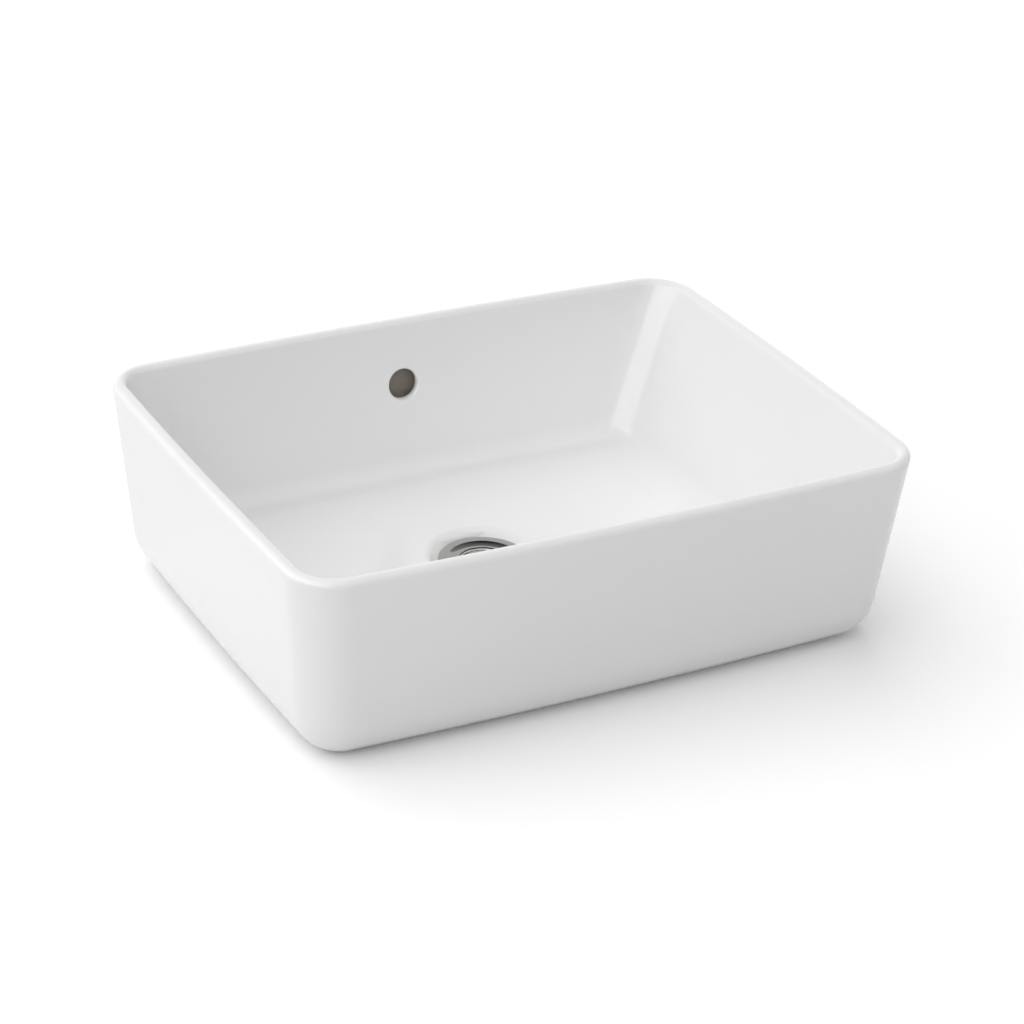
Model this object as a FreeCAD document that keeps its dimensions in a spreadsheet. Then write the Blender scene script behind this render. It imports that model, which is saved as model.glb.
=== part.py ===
import FreeCAD, Part
import math
import os
import Sketcher

# Countertop wash basin in vitreous china with its click-action waste, in millimetres.
# The foot stands on the plane Z = 0, the long front faces -Y, and the overflow is in the back wall (+Y).

doc = FreeCAD.newDocument("countertop_basin")
sheet = doc.addObject("Spreadsheet::Sheet", "sizes")

SIZES = {
    # basin, outside
    "basin_width": (500, "across the short sides at the rim"),
    "basin_depth": (380, "front to back at the rim"),
    "basin_height": (153, "foot to rim"),
    "skirt_taper_x": (17, "how far the foot is set in at each short side"),
    "skirt_taper_y": (14, "how far the foot is set in at front and back"),
    "bow_radius": (5500, "radius of the slightly bowed sides in plan"),
    "corner_at_rim": (38, "plan radius of the outer corners at the rim"),
    "corner_at_foot": (32, "plan radius of the outer corners at the foot"),
    "foot_round": (28, "rounding from the skirt into the foot"),
    "rim_outer_round": (5, "outer rounding of the rim"),
    "wall": (9, "thickness of the fired clay"),
    "foot_ring_width": (9, "ground ring that the basin stands on"),
    # basin, bowl
    "rim_width": (10.5, "flat and roundings of the rim together"),
    "rim_inner_round": (5, "inner rounding of the rim"),
    "bowl_taper_x": (52, "how far the floor is set in at each short side"),
    "bowl_taper_y": (25, "how far the floor is set in at front and back"),
    "bowl_corner_at_rim": (25, "plan radius of the bowl's corners at the rim"),
    "bowl_corner_at_floor": (30, "plan radius of the bowl's corners at the floor"),
    "floor_height": (27, "foot to the edge of the bowl's floor"),
    "floor_round": (26, "rounding between bowl wall and floor"),
    "floor_fall": (3.4, "fall of the floor to the waste"),
    "foot_bevel": (14, "bevel of the hollow over the foot's rounding"),
    "shell_bevel": (14, "bevel under the floor's rounding"),
    "hollow_top": (112, "top of the hollow between skirt and bowl"),
    # waste hole in the basin
    "waste_y": (26, "waste axis behind the middle of the basin"),
    "waste_hole": (23.5, "radius of the hole in the clay"),
    "seat_height": (17, "foot to the seat of the flange gasket"),
    "seat_radius": (36.5, "radius of the flat seat"),
    "dimple_radius": (44, "radius of the dimple round the waste"),
    "dimple_round": (6, "both curves of the dimple's wall, in section"),
    "seat_countersink": (2.6, "chamfer at the top of the waste hole"),
    "boss_radius": (47, "radius of the boss under the floor"),
    "boss_height": (1.5, "foot to the underside of the boss"),
    # overflow
    "overflow_height": (102.5, "foot to the middle of the overflow hole"),
    "overflow_radius": (12, "radius of the overflow hole"),
    "overflow_lip": (1.6, "rounding of its glazed lip"),
    "duct_width": (40, "width of the overflow duct"),
    "duct_wall": (5, "clay round the overflow duct"),
    "duct_roof": (11.5, "foot to the roof of the duct under the floor"),
    "duct_floor": (5.5, "foot to the floor of the duct"),
    "ring_chamber": (30, "radius of the overflow chamber round the waste"),
    # waste body
    "tail_radius": (20.955, "G 1 1/4 male thread, major radius"),
    "tail_pitch_radius": (20.215, "the same thread's pitch radius, where the backnut is screwed on"),
    "thread_runout": (0.5, "free thread below the backnut starts this much lower"),
    "tail_bore": (16.8, "bore of the tail, radius"),
    "tail_below_foot": (46, "how far the tail reaches below the foot"),
    "flange_radius": (35, "radius of the flange"),
    "flange_rise": (3, "seat of the gasket to the top of the flange"),
    "flange_round": (1.2, "rounding of the flange's outer edge"),
    "flange_ring": (28, "inner radius of the flat ring of the flange"),
    "flange_dish": (1.5, "depth of the dish inside the ring, down to the throat's edge"),
    "dish_round": (25, "radius of the dish in section"),
    "throat_radius": (18.2, "radius of the throat"),
    "throat_round": (2.4, "rounding from the dish into the throat"),
    "plug_seat_depth": (5.2, "flange top to the seat of the plug seal"),
    "tail_slot_width": (14, "width of each overflow slot in the tail"),
    "tail_slots": (4, "overflow slots in the tail"),
    "bridge_thickness": (6, "thickness of the bridge"),
    "bridge_hub": (10.5, "radius of the hub of the bridge"),
    "bridge_arm": (4, "width of each arm of the bridge"),
    "bridge_arms": (3, "arms of the bridge"),
    # gaskets and nut
    "gasket_thickness": (1, "flange gasket"),
    "gasket_radius": (33.6, "flange gasket, outer radius"),
    "gasket_hole": (26.5, "flange gasket, inner radius"),
    "lower_gasket_thickness": (6, "tapered gasket under the boss"),
    "lower_gasket_radius": (31, "tapered gasket, outer radius"),
    "lower_gasket_nose": (2.5, "nose of the tapered gasket in the waste hole"),
    "washer_thickness": (1.5, "friction washer"),
    "washer_radius": (30, "friction washer, outer radius"),
    "nut_height": (10, "backnut"),
    "nut_flats": (54, "backnut, across flats"),
    "lower_gasket_bevel": (1, "bevel of the tapered gasket"),
    "nose_gap": (0.4, "nose of the tapered gasket to the waste hole"),
    "thread_gap": (0.1, "radial clearance in a thread"),
    "thread_chamfer": (1, "chamfer at the end of the tail"),
    "slip_gap": (0.06, "radial clearance of a running fit"),
    # click cartridge
    "housing_radius": (9, "cartridge housing"),
    "housing_wall": (1.5, "wall of the housing"),
    "spigot_radius": (6, "M12 spigot of the housing"),
    "spigot_length": (20, "spigot below the bridge's top face"),
    "spring_room": (4.7, "radius of the bore for the spring"),
    "weep_hole": (1.2, "radius of the weep hole in the spigot"),
    "lid_clearance": (1.6, "lid of the housing to the boss of the plug cap"),
    "lid_thickness": (1.4, "lid of the housing"),
    "cartridge_nut_height": (5, "nut under the bridge"),
    "cartridge_nut_flats": (18, "nut under the bridge, across flats"),
    "stem_radius": (2.5, "plug stem"),
    "stem_tail": (14, "stem below the crown, inside the spring"),
    "crown_height": (2.4, "crown of the stem"),
    "crown_gap": (0.3, "clearance of crown and index ring in the housing"),
    "index_height": (3.2, "index ring"),
    "index_teeth": (8, "teeth of the index ring"),
    "index_tooth_depth": (1.1, "depth of the teeth"),
    "index_tooth_width": (2.6, "width of the gap of each tooth at the rim"),
    "index_gap": (0.4, "index ring to the floor of the housing"),
    "lid_spigot": (1, "spigot of the lid in the housing"),
    "spring_gap": (0.05, "clearance at each end of the spring"),
    "click_travel": (8.5, "lift of the plug from closed to open"),
    "spring_wire": (0.8, "wire of the click spring, diameter"),
    "spring_coil": (3.9, "mean coil radius of the click spring"),
    "spring_turns": (6, "turns of the click spring"),
    # plug
    "plug_gap": (0.9, "plug cap to throat"),
    "plug_edge": (1.8, "thickness of the plug cap at its edge"),
    "plug_edge_round": (0.8, "rounding of the plug cap's edge"),
    "plug_dome": (1.3, "rise of the plug cap's dome"),
    "plug_boss": (6, "radius of the plug cap's boss"),
    "seal_thickness": (1.6, "plug seal"),
    "seal_overlap": (0.5, "how far the seal reaches over its seat"),
    "seal_gap": (0.4, "height of the seal over its conical seat"),
    "retainer_thickness": (1.2, "retainer under the plug seal"),
    "boss_rivet": (0.5, "boss of the cap below the retainer"),
    "o_ring_wire": (1.4, "section of the stem's O-ring, diameter"),
}
for row, (alias, (number, note)) in enumerate(SIZES.items(), 1):
    sheet.set("A%d" % row, alias)
    sheet.set("B%d" % row, str(number))
    sheet.set("C%d" % row, note)
    sheet.setAlias("B%d" % row, alias)
doc.recompute()


def bind(formula):
    """A formula on size names, written for setExpression: each name gets the sheet's own."""
    out, word = "", ""
    for char in formula + " ":
        if char.isalnum() or char in "_.":
            word += char
            continue
        out += ("sizes." + word if word in SIZES else word) + char
        word = ""
    return out.strip()


def value(formula):
    """The number that a formula on size names gives now."""
    found = sheet.evalExpression(formula)
    return float(getattr(found, "Value", found))


def placed_sketch(body, name, plane, offset):
    """A sketch on one of the body's own origin planes, moved along that plane's normal by a formula."""
    sketch = body.newObject("Sketcher::SketchObject", name)
    origin_plane = [o for o in body.Origin.OriginFeatures if o.Role == plane][0]
    sketch.AttachmentSupport = [(origin_plane, "")]
    sketch.MapMode = "FlatFace"
    sketch.setExpression("AttachmentOffset.Base.z", bind(offset))
    return sketch


def dimension(sketch, formula, kind, *where):
    """A driving dimension of the sketch, tied to a formula on the sheet."""
    index = sketch.addConstraint(Sketcher.Constraint(kind, *where, value(formula)))
    sketch.setExpression("Constraints[%d]" % index, bind(formula))


def bowed_outline(body, name, level, half_x, half_y, corner, middle_y="0"):
    """A rectangle with slightly bowed sides and round corners at a level above the foot.

    half_x and half_y are measured at the middle of each side, where the bow reaches furthest.
    """
    sketch = placed_sketch(body, name, "XY_Plane", level)
    bow, round_ = value("bow_radius"), value(corner)
    reach_x, reach_y, mid = bow - value(half_x), bow - value(half_y), value(middle_y)
    # the corner's centre lies at bow - corner from the centres of both of its sides
    across, along = value(half_x) - round_, value(half_y) - round_
    for _ in range(30):
        across = math.sqrt((bow - round_) ** 2 - along**2) - reach_x
        along = math.sqrt((bow - round_) ** 2 - across**2) - reach_y
    tilt_x = math.atan2(along, across + reach_x)
    tilt_y = math.atan2(across, along + reach_y)
    quarter, up = math.pi / 2, FreeCAD.Vector(0, 0, 1)
    arcs = []
    for turn, (sx, sy) in enumerate(((1, 1), (-1, 1), (-1, -1), (1, -1))):
        # the side before the corner, then the corner, anticlockwise from the right-hand side
        if turn % 2 == 0:
            centre, half_angle = (-sx * reach_x, 0), tilt_x
            ends = (tilt_x, quarter - tilt_y)
        else:
            centre, half_angle = (0, -sy * reach_y), tilt_y
            ends = (tilt_y, quarter - tilt_x)
        start = turn * quarter
        arcs.append((centre, bow, start - half_angle, start + half_angle))
        arcs.append(((sx * across, sy * along), round_, start + ends[0], start + ends[1]))
    for (cx, cy), radius, first, last in arcs:
        circle = Part.Circle(FreeCAD.Vector(cx, mid + cy, 0), up, radius)
        sketch.addGeometry(Part.ArcOfCircle(circle, first, last), False)
    count = len(arcs)
    for i in range(count):
        sketch.addConstraint(Sketcher.Constraint("Tangent", i, 2, (i + 1) % count, 1))
    for i in range(2, count):
        sketch.addConstraint(Sketcher.Constraint("Equal", i % 2, i))
    dimension(sketch, "bow_radius", "Radius", 0)
    dimension(sketch, corner, "Radius", 1)
    for side in (2, 6):
        sketch.addConstraint(Sketcher.Constraint("PointOnObject", side, 3, -2))
    dimension(sketch, "bow_radius - (%s)" % half_x, "DistanceX", 0, 3, -1, 1)
    dimension(sketch, "bow_radius - (%s)" % half_x, "DistanceX", -1, 1, 4, 3)
    for side in (0, 4):
        if middle_y == "0":
            sketch.addConstraint(Sketcher.Constraint("PointOnObject", side, 3, -1))
        else:
            dimension(sketch, middle_y, "DistanceY", -1, 1, side, 3)
    dimension(sketch, "bow_radius - (%s) - (%s)" % (half_y, middle_y), "DistanceY", 2, 3, -1, 1)
    dimension(sketch, "bow_radius - (%s) + (%s)" % (half_y, middle_y), "DistanceY", -1, 1, 6, 3)
    return sketch


def loft(body, kind, name, *outlines):
    """A straight-sided loft from the highest outline down, which leaves its faces outwards."""
    feature = body.newObject("PartDesign::" + kind, name)
    feature.Profile = outlines[0]
    feature.Sections = list(outlines[1:])
    feature.Ruled = True
    doc.recompute()


def edges_in(shape, x=None, y=None, z=None):
    """Names of the edges that lie wholly between two limits along each of the axes given."""
    names, slack = [], 0.05
    for i, edge in enumerate(shape.Edges, 1):
        box = edge.BoundBox
        spans = ((x, box.XMin, box.XMax), (y, box.YMin, box.YMax), (z, box.ZMin, box.ZMax))
        if all(limits is None or (limits[0] - slack < low and high < limits[1] + slack)
               for limits, low, high in spans):
            names.append("Edge%d" % i)
    return names


def flat_edges(shape, formula, reach=None):
    """Names of the edges at one height, or only those within half sizes in plan."""
    level, spans = value(formula), [(-half, half) for half in reach or ()] or [None, None]
    return edges_in(shape, spans[0], spans[1], (level, level))


def round_edges(body, name, names, radius):
    """A fillet on named edges of the body as it stands."""
    base = body.Tip
    feature = body.newObject("PartDesign::Fillet", name)
    feature.Base = (base, names)
    feature.setExpression("Radius", bind(radius))
    doc.recompute()


def arc_between(first, last, radius, left):
    """The short arc from one point to another, bending to the left or to the right on its way."""
    chord = last - first
    side = FreeCAD.Vector(-chord.y, chord.x, 0).normalize() * (1 if left else -1)
    middle = (first + last) / 2 + side * math.sqrt(radius**2 - chord.Length**2 / 4)
    start, end = (first, last) if left else (last, first)
    angles = [math.atan2(point.y - middle.y, point.x - middle.x) for point in (start, end)]
    return Part.ArcOfCircle(Part.Circle(middle, FreeCAD.Vector(0, 0, 1), radius), *angles)


def profile(body, name, plane, offset, points):
    """A closed outline; each corner is a pair of formulas, or of "0" on an axis.

    The run to the next corner is straight, or an arc of the radius given third: with "left" or "right"
    fourth, the side to which it bends.
    """
    sketch = placed_sketch(body, name, plane, offset)
    corners = [FreeCAD.Vector(value(point[0]), value(point[1]), 0) for point in points]
    count = len(corners)
    # an arc that bends to the right is drawn from its far end, so its ends are numbered the other way
    ends = [(2, 1) if point[3:] == ("right",) else (1, 2) for point in points]
    for i, point in enumerate(points):
        first, last = corners[i], corners[(i + 1) % count]
        if point[2:]:
            run = arc_between(first, last, value(point[2]), point[3] == "left")
        else:
            run = Part.LineSegment(first, last)
        sketch.addGeometry(run, False)
    for i in range(count):
        following = (i + 1) % count
        sketch.addConstraint(Sketcher.Constraint("Coincident", i, ends[i][1], following, ends[following][0]))
    for i, point in enumerate(points):
        for kind, formula, axis in (("DistanceX", point[0], -2), ("DistanceY", point[1], -1)):
            if formula == "0":
                sketch.addConstraint(Sketcher.Constraint("PointOnObject", i, ends[i][0], axis))
            else:
                dimension(sketch, formula, kind, -1, 1, i, ends[i][0])
        if point[2:]:
            dimension(sketch, point[2], "Radius", i)
    return sketch


def turn(body, kind, name, sketch):
    """A full revolution, or a groove, of a sketch about its own vertical axis."""
    feature = body.newObject("PartDesign::" + kind, name)
    feature.Profile = sketch
    feature.ReferenceAxis = (sketch, ["V_Axis"])
    feature.Angle = 360
    doc.recompute()


def turned(name, points):
    """A piece turned about the waste axis from corners given as (radius, height)."""
    body = doc.addObject("PartDesign::Body", name)
    sketch = profile(body, name + "_section", "XZ_Plane", "-waste_y", points)
    turn(body, "Revolution", name + "_turned", sketch)
    return body


def extrude(body, kind, name, sketch, length, midplane=False, reverse=False):
    """A pad or a pocket of a sketch, one way along its normal or half each way."""
    feature = body.newObject("PartDesign::" + kind, name)
    feature.Profile = sketch
    feature.setExpression("Length", bind(length))
    feature.Midplane = midplane
    feature.Reversed = reverse
    doc.recompute()
    return feature


def repeat_round(body, name, feature, sketch, count):
    """Copies of a feature spread evenly round the sketch's vertical axis."""
    pattern = body.newObject("PartDesign::PolarPattern", name)
    pattern.Originals = [feature]
    pattern.Axis = (sketch, ["V_Axis"])
    pattern.Angle = 360
    pattern.setExpression("Occurrences", bind(count))
    body.Tip = pattern
    doc.recompute()


# ---------------------------------------------------------------- basin
# Levels and half sizes of the outer skin and of the bowl, as formulas on the height above the foot.


def skirt_half(axis, level, inset="0"):
    full = "basin_width" if axis == "x" else "basin_depth"
    taper = "skirt_taper_" + axis
    return "%s / 2 - %s * (1 - (%s) / basin_height) - (%s)" % (full, taper, level, inset)


def bowl_half(axis, level, outset="0"):
    full = "basin_width" if axis == "x" else "basin_depth"
    fall = "bowl_taper_%s * (basin_height - (%s)) / (basin_height - floor_height)" % (axis, level)
    return "%s / 2 - rim_width - %s + (%s)" % (full, fall, outset)


def skirt_corner(level, inset="0"):
    grow = "(corner_at_rim - corner_at_foot) * (%s) / basin_height" % level
    return "corner_at_foot + %s - (%s)" % (grow, inset)


def foot_flat(axis):
    """Half size of the flat under the foot: the skirt's foot less the reach of its rounding."""
    slope = "skirt_taper_%s / basin_height" % axis
    return "%s - foot_round * (sqrt(1 + (%s)^2) - %s)" % (skirt_half(axis, "0"), slope, slope)


def skirt_outline(body, name, level, inset="0"):
    return bowed_outline(body, name, level, skirt_half("x", level, inset),
                         skirt_half("y", level, inset), skirt_corner(level, inset))


def bowl_outline(body, name, level, corner, outset="0"):
    return bowed_outline(body, name, level, bowl_half("x", level, outset),
                         bowl_half("y", level, outset), "%s + (%s)" % (corner, outset))


basin = doc.addObject("PartDesign::Body", "basin_body")
loft(basin, "AdditiveLoft", "skirt_block",
     skirt_outline(basin, "rim_outline", "basin_height"),
     skirt_outline(basin, "foot_outline", "0"))
round_edges(basin, "foot_rounding", flat_edges(basin.Shape, "0"), "foot_round")

# The hollow between skirt and bowl, bevelled where the skin outside it is rounded.
loft(basin, "SubtractiveLoft", "skirt_hollow",
     skirt_outline(basin, "hollow_roof", "hollow_top", "wall"),
     skirt_outline(basin, "hollow_side", "wall + foot_bevel", "wall"),
     skirt_outline(basin, "hollow_floor", "wall", "wall + foot_bevel"))
loft(basin, "AdditiveLoft", "bowl_shell",
     bowl_outline(basin, "shell_top", "hollow_top + wall", "bowl_corner_at_rim", "wall"),
     bowl_outline(basin, "shell_side", "floor_height - wall + shell_bevel", "bowl_corner_at_floor", "wall"),
     bowl_outline(basin, "shell_floor", "floor_height - wall", "bowl_corner_at_floor",
                  "wall - shell_bevel"))

# The overflow duct is cast as a rib between skirt and bowl that runs on under the floor to the waste.
rib = profile(basin, "rib_section", "YZ_Plane", "0", [
    ("waste_y", "boss_height"),
    (foot_flat("y"), "boss_height"),
    (skirt_half("y", "foot_round", "wall / 2"), "foot_round"),
    (skirt_half("y", "hollow_top + wall / 2", "wall / 2"), "hollow_top + wall / 2"),
    (bowl_half("y", "hollow_top + wall / 2", "wall / 2"), "hollow_top + wall / 2"),
    (bowl_half("y", "floor_height", "wall / 2"), "floor_height"),
    ("waste_y", "floor_height - wall / 2"),
])
extrude(basin, "Pad", "duct_rib", rib, "duct_width + 2 * duct_wall", midplane=True)

boss = placed_sketch(basin, "boss_outline", "XY_Plane", "boss_height")
boss.addGeometry(Part.Circle(FreeCAD.Vector(0, value("waste_y"), 0),
                             FreeCAD.Vector(0, 0, 1), value("boss_radius")), False)
boss.addConstraint(Sketcher.Constraint("PointOnObject", 0, 3, -2))
dimension(boss, "waste_y", "DistanceY", -1, 1, 0, 3)
dimension(boss, "boss_radius", "Radius", 0)
extrude(basin, "Pad", "boss", boss, "floor_height - wall / 2 - boss_height")

loft(basin, "SubtractiveLoft", "bowl",
     bowl_outline(basin, "bowl_mouth", "basin_height", "bowl_corner_at_rim"),
     bowl_outline(basin, "bowl_floor", "floor_height", "bowl_corner_at_floor"))
bowl_plan = [value(bowl_half(axis, "floor_height")) for axis in "xy"]
round_edges(basin, "floor_rounding", flat_edges(basin.Shape, "floor_height", bowl_plan),
            "floor_round")

# The floor falls to the dimple from all sides.
fall = "dimple_radius + 1"
loft(basin, "SubtractiveLoft", "floor_fall",
     bowed_outline(basin, "fall_edge", "floor_height",
                   bowl_half("x", "floor_height") + " - floor_round",
                   bowl_half("y", "floor_height") + " - floor_round", "bowl_corner_at_floor"),
     bowed_outline(basin, "fall_end", "floor_height - floor_fall", fall, fall,
                   "dimple_radius", "waste_y"))

foot_opening = bowed_outline(basin, "foot_opening_outline", "0", foot_flat("x") + " - foot_ring_width",
                             foot_flat("y") + " - foot_ring_width",
                             "corner_at_foot - foot_round + foot_ring_width")
extrude(basin, "Pocket", "foot_opening", foot_opening, "wall + 1", reverse=True)

# Waste hole with its dimple, flat seat, countersink and the ring chamber that takes the overflow.
dimple = profile(basin, "waste_hole_section", "XZ_Plane", "-waste_y", [
    ("0", "floor_height + wall"),
    ("dimple_radius", "floor_height + wall"),
    ("dimple_radius", "floor_height - floor_fall", "dimple_round", "left"),
    ("(dimple_radius + seat_radius) / 2", "(floor_height - floor_fall + seat_height) / 2",
     "dimple_round", "right"),
    ("seat_radius", "seat_height"),
    ("waste_hole + seat_countersink", "seat_height"),
    ("waste_hole", "seat_height - seat_countersink"),
    ("waste_hole", "0"),
    ("0", "0"),
])
turn(basin, "Groove", "waste_hole_cut", dimple)
chamber = profile(basin, "ring_chamber_section", "XZ_Plane", "-waste_y", [
    ("0", "duct_floor"), ("ring_chamber", "duct_floor"), ("ring_chamber", "duct_roof"), ("0", "duct_roof"),
])
turn(basin, "Groove", "ring_chamber_cut", chamber)

duct_top = "overflow_height + overflow_radius + 1"
duct = profile(basin, "duct_section", "YZ_Plane", "0", [
    ("waste_y", "duct_floor"),
    (foot_flat("y"), "duct_floor"),
    (skirt_half("y", "foot_round", "duct_wall"), "foot_round"),
    (skirt_half("y", duct_top, "duct_wall"), duct_top),
    (bowl_half("y", duct_top, "duct_wall"), duct_top),
    (bowl_half("y", "floor_height", "duct_wall"), "floor_height"),
    (foot_flat("y"), "duct_roof"),
    ("waste_y", "duct_roof"),
])
extrude(basin, "Pocket", "duct", duct, "duct_width", midplane=True)

overflow = placed_sketch(basin, "overflow_outline", "XZ_Plane",
                         "-(%s)" % bowl_half("y", "overflow_height", "2 * duct_wall"))
overflow.addGeometry(Part.Circle(FreeCAD.Vector(0, value("overflow_height"), 0),
                                 FreeCAD.Vector(0, 0, 1), value("overflow_radius")), False)
overflow.addConstraint(Sketcher.Constraint("PointOnObject", 0, 3, -2))
dimension(overflow, "overflow_height", "DistanceY", -1, 1, 0, 3)
dimension(overflow, "overflow_radius", "Radius", 0)
extrude(basin, "Pocket", "overflow_hole", overflow, "2 * wall + overflow_radius", reverse=True)
hole_foot, hole_head = ["overflow_height %s overflow_radius" % sign for sign in "-+"]
lip = edges_in(basin.Shape, (-value("overflow_radius"), value("overflow_radius")),
               (value(bowl_half("y", hole_foot)), value(bowl_half("y", hole_head))),
               (value(hole_foot), value(hole_head)))
round_edges(basin, "overflow_lip_rounding", lip, "overflow_lip")

mouth = [value(bowl_half(axis, "basin_height")) for axis in "xy"]
inner_rim = flat_edges(basin.Shape, "basin_height", mouth)
outer_rim = [name for name in flat_edges(basin.Shape, "basin_height") if name not in inner_rim]
round_edges(basin, "rim_outside", outer_rim, "rim_outer_round")
round_edges(basin, "rim_inside", flat_edges(basin.Shape, "basin_height", mouth), "rim_inner_round")


# ---------------------------------------------------------------- waste body
# One brass turning: flange, throat, plug seat and threaded tail, with the bridge cast across its bore.

flange_top = "seat_height + flange_rise"
flange_foot = "seat_height + gasket_thickness"
plug_seat = "seat_height + flange_rise - plug_seat_depth"
tail_end = "0 - tail_below_foot"

# Levels of the closed plug and of the cartridge that hangs under it, from the seat down to the bridge.
seal_foot = plug_seat + " - throat_radius + tail_bore + seal_overlap + seal_gap"
boss_foot = seal_foot + " - retainer_thickness - boss_rivet"
housing_top = boss_foot + " - lid_clearance - lid_thickness"
lid_foot = housing_top + " - lid_spigot"
crown_foot = lid_foot + " - index_gap - click_travel - crown_height"
index_foot = crown_foot + " - index_gap / 2 - index_height"
chamber_floor = index_foot + " - index_gap"
bridge_top = chamber_floor + " - housing_wall"
bridge_foot = bridge_top + " - bridge_thickness"
lower_gasket_foot = "boss_height - lower_gasket_thickness"
washer_foot = lower_gasket_foot + " - washer_thickness"
free_thread_top = washer_foot + " - nut_height - thread_runout"

waste = turned("waste_body", [
    ("flange_radius", flange_foot),
    ("flange_radius", flange_top + " - flange_round", "flange_round", "left"),
    ("flange_radius - flange_round", flange_top),
    ("flange_ring", flange_top, "dish_round", "right"),
    ("throat_radius + throat_round", flange_top + " - flange_dish", "throat_round", "left"),
    ("throat_radius", flange_top + " - flange_dish - throat_round"),
    ("throat_radius", plug_seat),
    ("tail_bore", plug_seat + " - throat_radius + tail_bore"),
    ("tail_bore", tail_end),
    ("tail_radius - thread_chamfer", tail_end),
    ("tail_radius", tail_end + " + thread_chamfer"),
    ("tail_radius", free_thread_top),
    ("tail_pitch_radius", free_thread_top),
    ("tail_pitch_radius", "seat_height - seat_countersink"),
    ("waste_hole + seat_countersink", flange_foot),
])
waste_axis = doc.getObject("waste_body_section")

arm = profile(waste, "bridge_arm_outline", "XY_Plane", bridge_foot, [
    ("0", "waste_y - bridge_arm / 2"),
    ("tail_bore + bridge_arm / 4", "waste_y - bridge_arm / 2"),
    ("tail_bore + bridge_arm / 4", "waste_y + bridge_arm / 2"),
    ("0", "waste_y + bridge_arm / 2"),
])
first_arm = extrude(waste, "Pad", "bridge_first_arm", arm, "bridge_thickness")
repeat_round(waste, "bridge_arm_set", first_arm, waste_axis, "bridge_arms")
turn(waste, "Revolution", "bridge_hub_turned", profile(waste, "bridge_hub_section", "XZ_Plane", "-waste_y", [
    ("0", bridge_foot), ("bridge_hub", bridge_foot), ("bridge_hub", bridge_top), ("0", bridge_top),
]))
hub_hole = "spigot_radius + thread_gap"
turn(waste, "Groove", "bridge_hub_hole", profile(waste, "bridge_hole_section", "XZ_Plane", "-waste_y", [
    ("0", bridge_foot), (hub_hole, bridge_foot), (hub_hole, bridge_top), ("0", bridge_top),
]))
slot = profile(waste, "tail_slot_outline", "XZ_Plane", "-waste_y", [
    ("0 - tail_slot_width / 2", "duct_floor"), ("tail_slot_width / 2", "duct_floor"),
    ("tail_slot_width / 2", "duct_roof"), ("0 - tail_slot_width / 2", "duct_roof"),
])
first_slot = extrude(waste, "Pocket", "tail_first_slot", slot, "tail_radius + 1")
repeat_round(waste, "tail_slot_set", first_slot, waste_axis, "tail_slots")


# ---------------------------------------------------------------- gaskets, washer and nuts


def ring(name, inner, outer, low, high):
    """A plain ring about the waste axis."""
    return turned(name, [(inner, low), (outer, low), (outer, high), (inner, high)])


def hex_nut(name, low, height, flats, hole):
    """A hexagon nut about the waste axis with its corners chamfered top and bottom."""
    prism = doc.addObject("Part::Prism", name + "_hexagon")
    prism.Polygon = 6
    corner = "(%s) / sqrt(3)" % flats
    prism.setExpression("Circumradius", bind(corner))
    prism.setExpression("Height", bind(height))
    prism.setExpression("Placement.Base.y", bind("waste_y"))
    prism.setExpression("Placement.Base.z", bind(low))
    chamfer = "((%s) - (%s) / 2)" % (corner, flats)
    top = "%s + %s" % (low, height)
    blank = turned(name + "_blank", [
        (hole, low), ("(%s) / 2" % flats, low), (corner, "%s + %s / 2" % (low, chamfer)),
        (corner, "%s - %s / 2" % (top, chamfer)), ("(%s) / 2" % flats, top), (hole, top),
    ])
    nut = doc.addObject("Part::Common", name)
    nut.Base = blank
    nut.Tool = prism
    return nut


tail_hole = "tail_radius + thread_gap"

flange_gasket = ring("flange_gasket", "gasket_hole", "gasket_radius", "seat_height", flange_foot)
lower_gasket = turned("lower_gasket", [
    (tail_hole, lower_gasket_foot),
    ("lower_gasket_radius - lower_gasket_bevel", lower_gasket_foot),
    ("lower_gasket_radius", lower_gasket_foot + " + lower_gasket_bevel"),
    ("lower_gasket_radius", "boss_height"),
    ("waste_hole - nose_gap", "boss_height"),
    ("waste_hole - 2 * nose_gap", "boss_height + lower_gasket_nose"),
    (tail_hole, "boss_height + lower_gasket_nose"),
])
friction_washer = ring("friction_washer", tail_hole, "washer_radius", washer_foot, lower_gasket_foot)
backnut = hex_nut("backnut", washer_foot + " - nut_height", "nut_height", "nut_flats",
                  "tail_pitch_radius + thread_gap")
cartridge_nut = hex_nut("cartridge_nut", bridge_foot + " - cartridge_nut_height",
                        "cartridge_nut_height", "cartridge_nut_flats", hub_hole)


# ---------------------------------------------------------------- click cartridge
# Housing on the bridge; in it the index ring, lifted by the spring, and above it the crown of the stem.

spigot_foot = bridge_top + " - spigot_length"
spring_floor = spigot_foot + " + housing_wall"
chamber_radius = "housing_radius - housing_wall"

housing = turned("cartridge_housing", [
    ("housing_radius", bridge_top), ("housing_radius", housing_top),
    (chamber_radius, housing_top), (chamber_radius, chamber_floor),
    ("spring_room", chamber_floor), ("spring_room", spring_floor),
    ("weep_hole", spring_floor), ("weep_hole", spigot_foot),
    ("spigot_radius", spigot_foot), ("spigot_radius", bridge_top),
])
lid_top = housing_top + " + lid_thickness"
ring_foot = lid_top + " - o_ring_wire"
o_ring_seat = "stem_radius + slip_gap + o_ring_wire"
lid = turned("cartridge_lid", [
    ("stem_radius + slip_gap", lid_foot), (chamber_radius + " - slip_gap", lid_foot),
    (chamber_radius + " - slip_gap", housing_top), ("housing_radius", housing_top),
    ("housing_radius", lid_top), (o_ring_seat + " + slip_gap", lid_top),
    (o_ring_seat + " + slip_gap", ring_foot), ("stem_radius + slip_gap", ring_foot),
])
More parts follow.
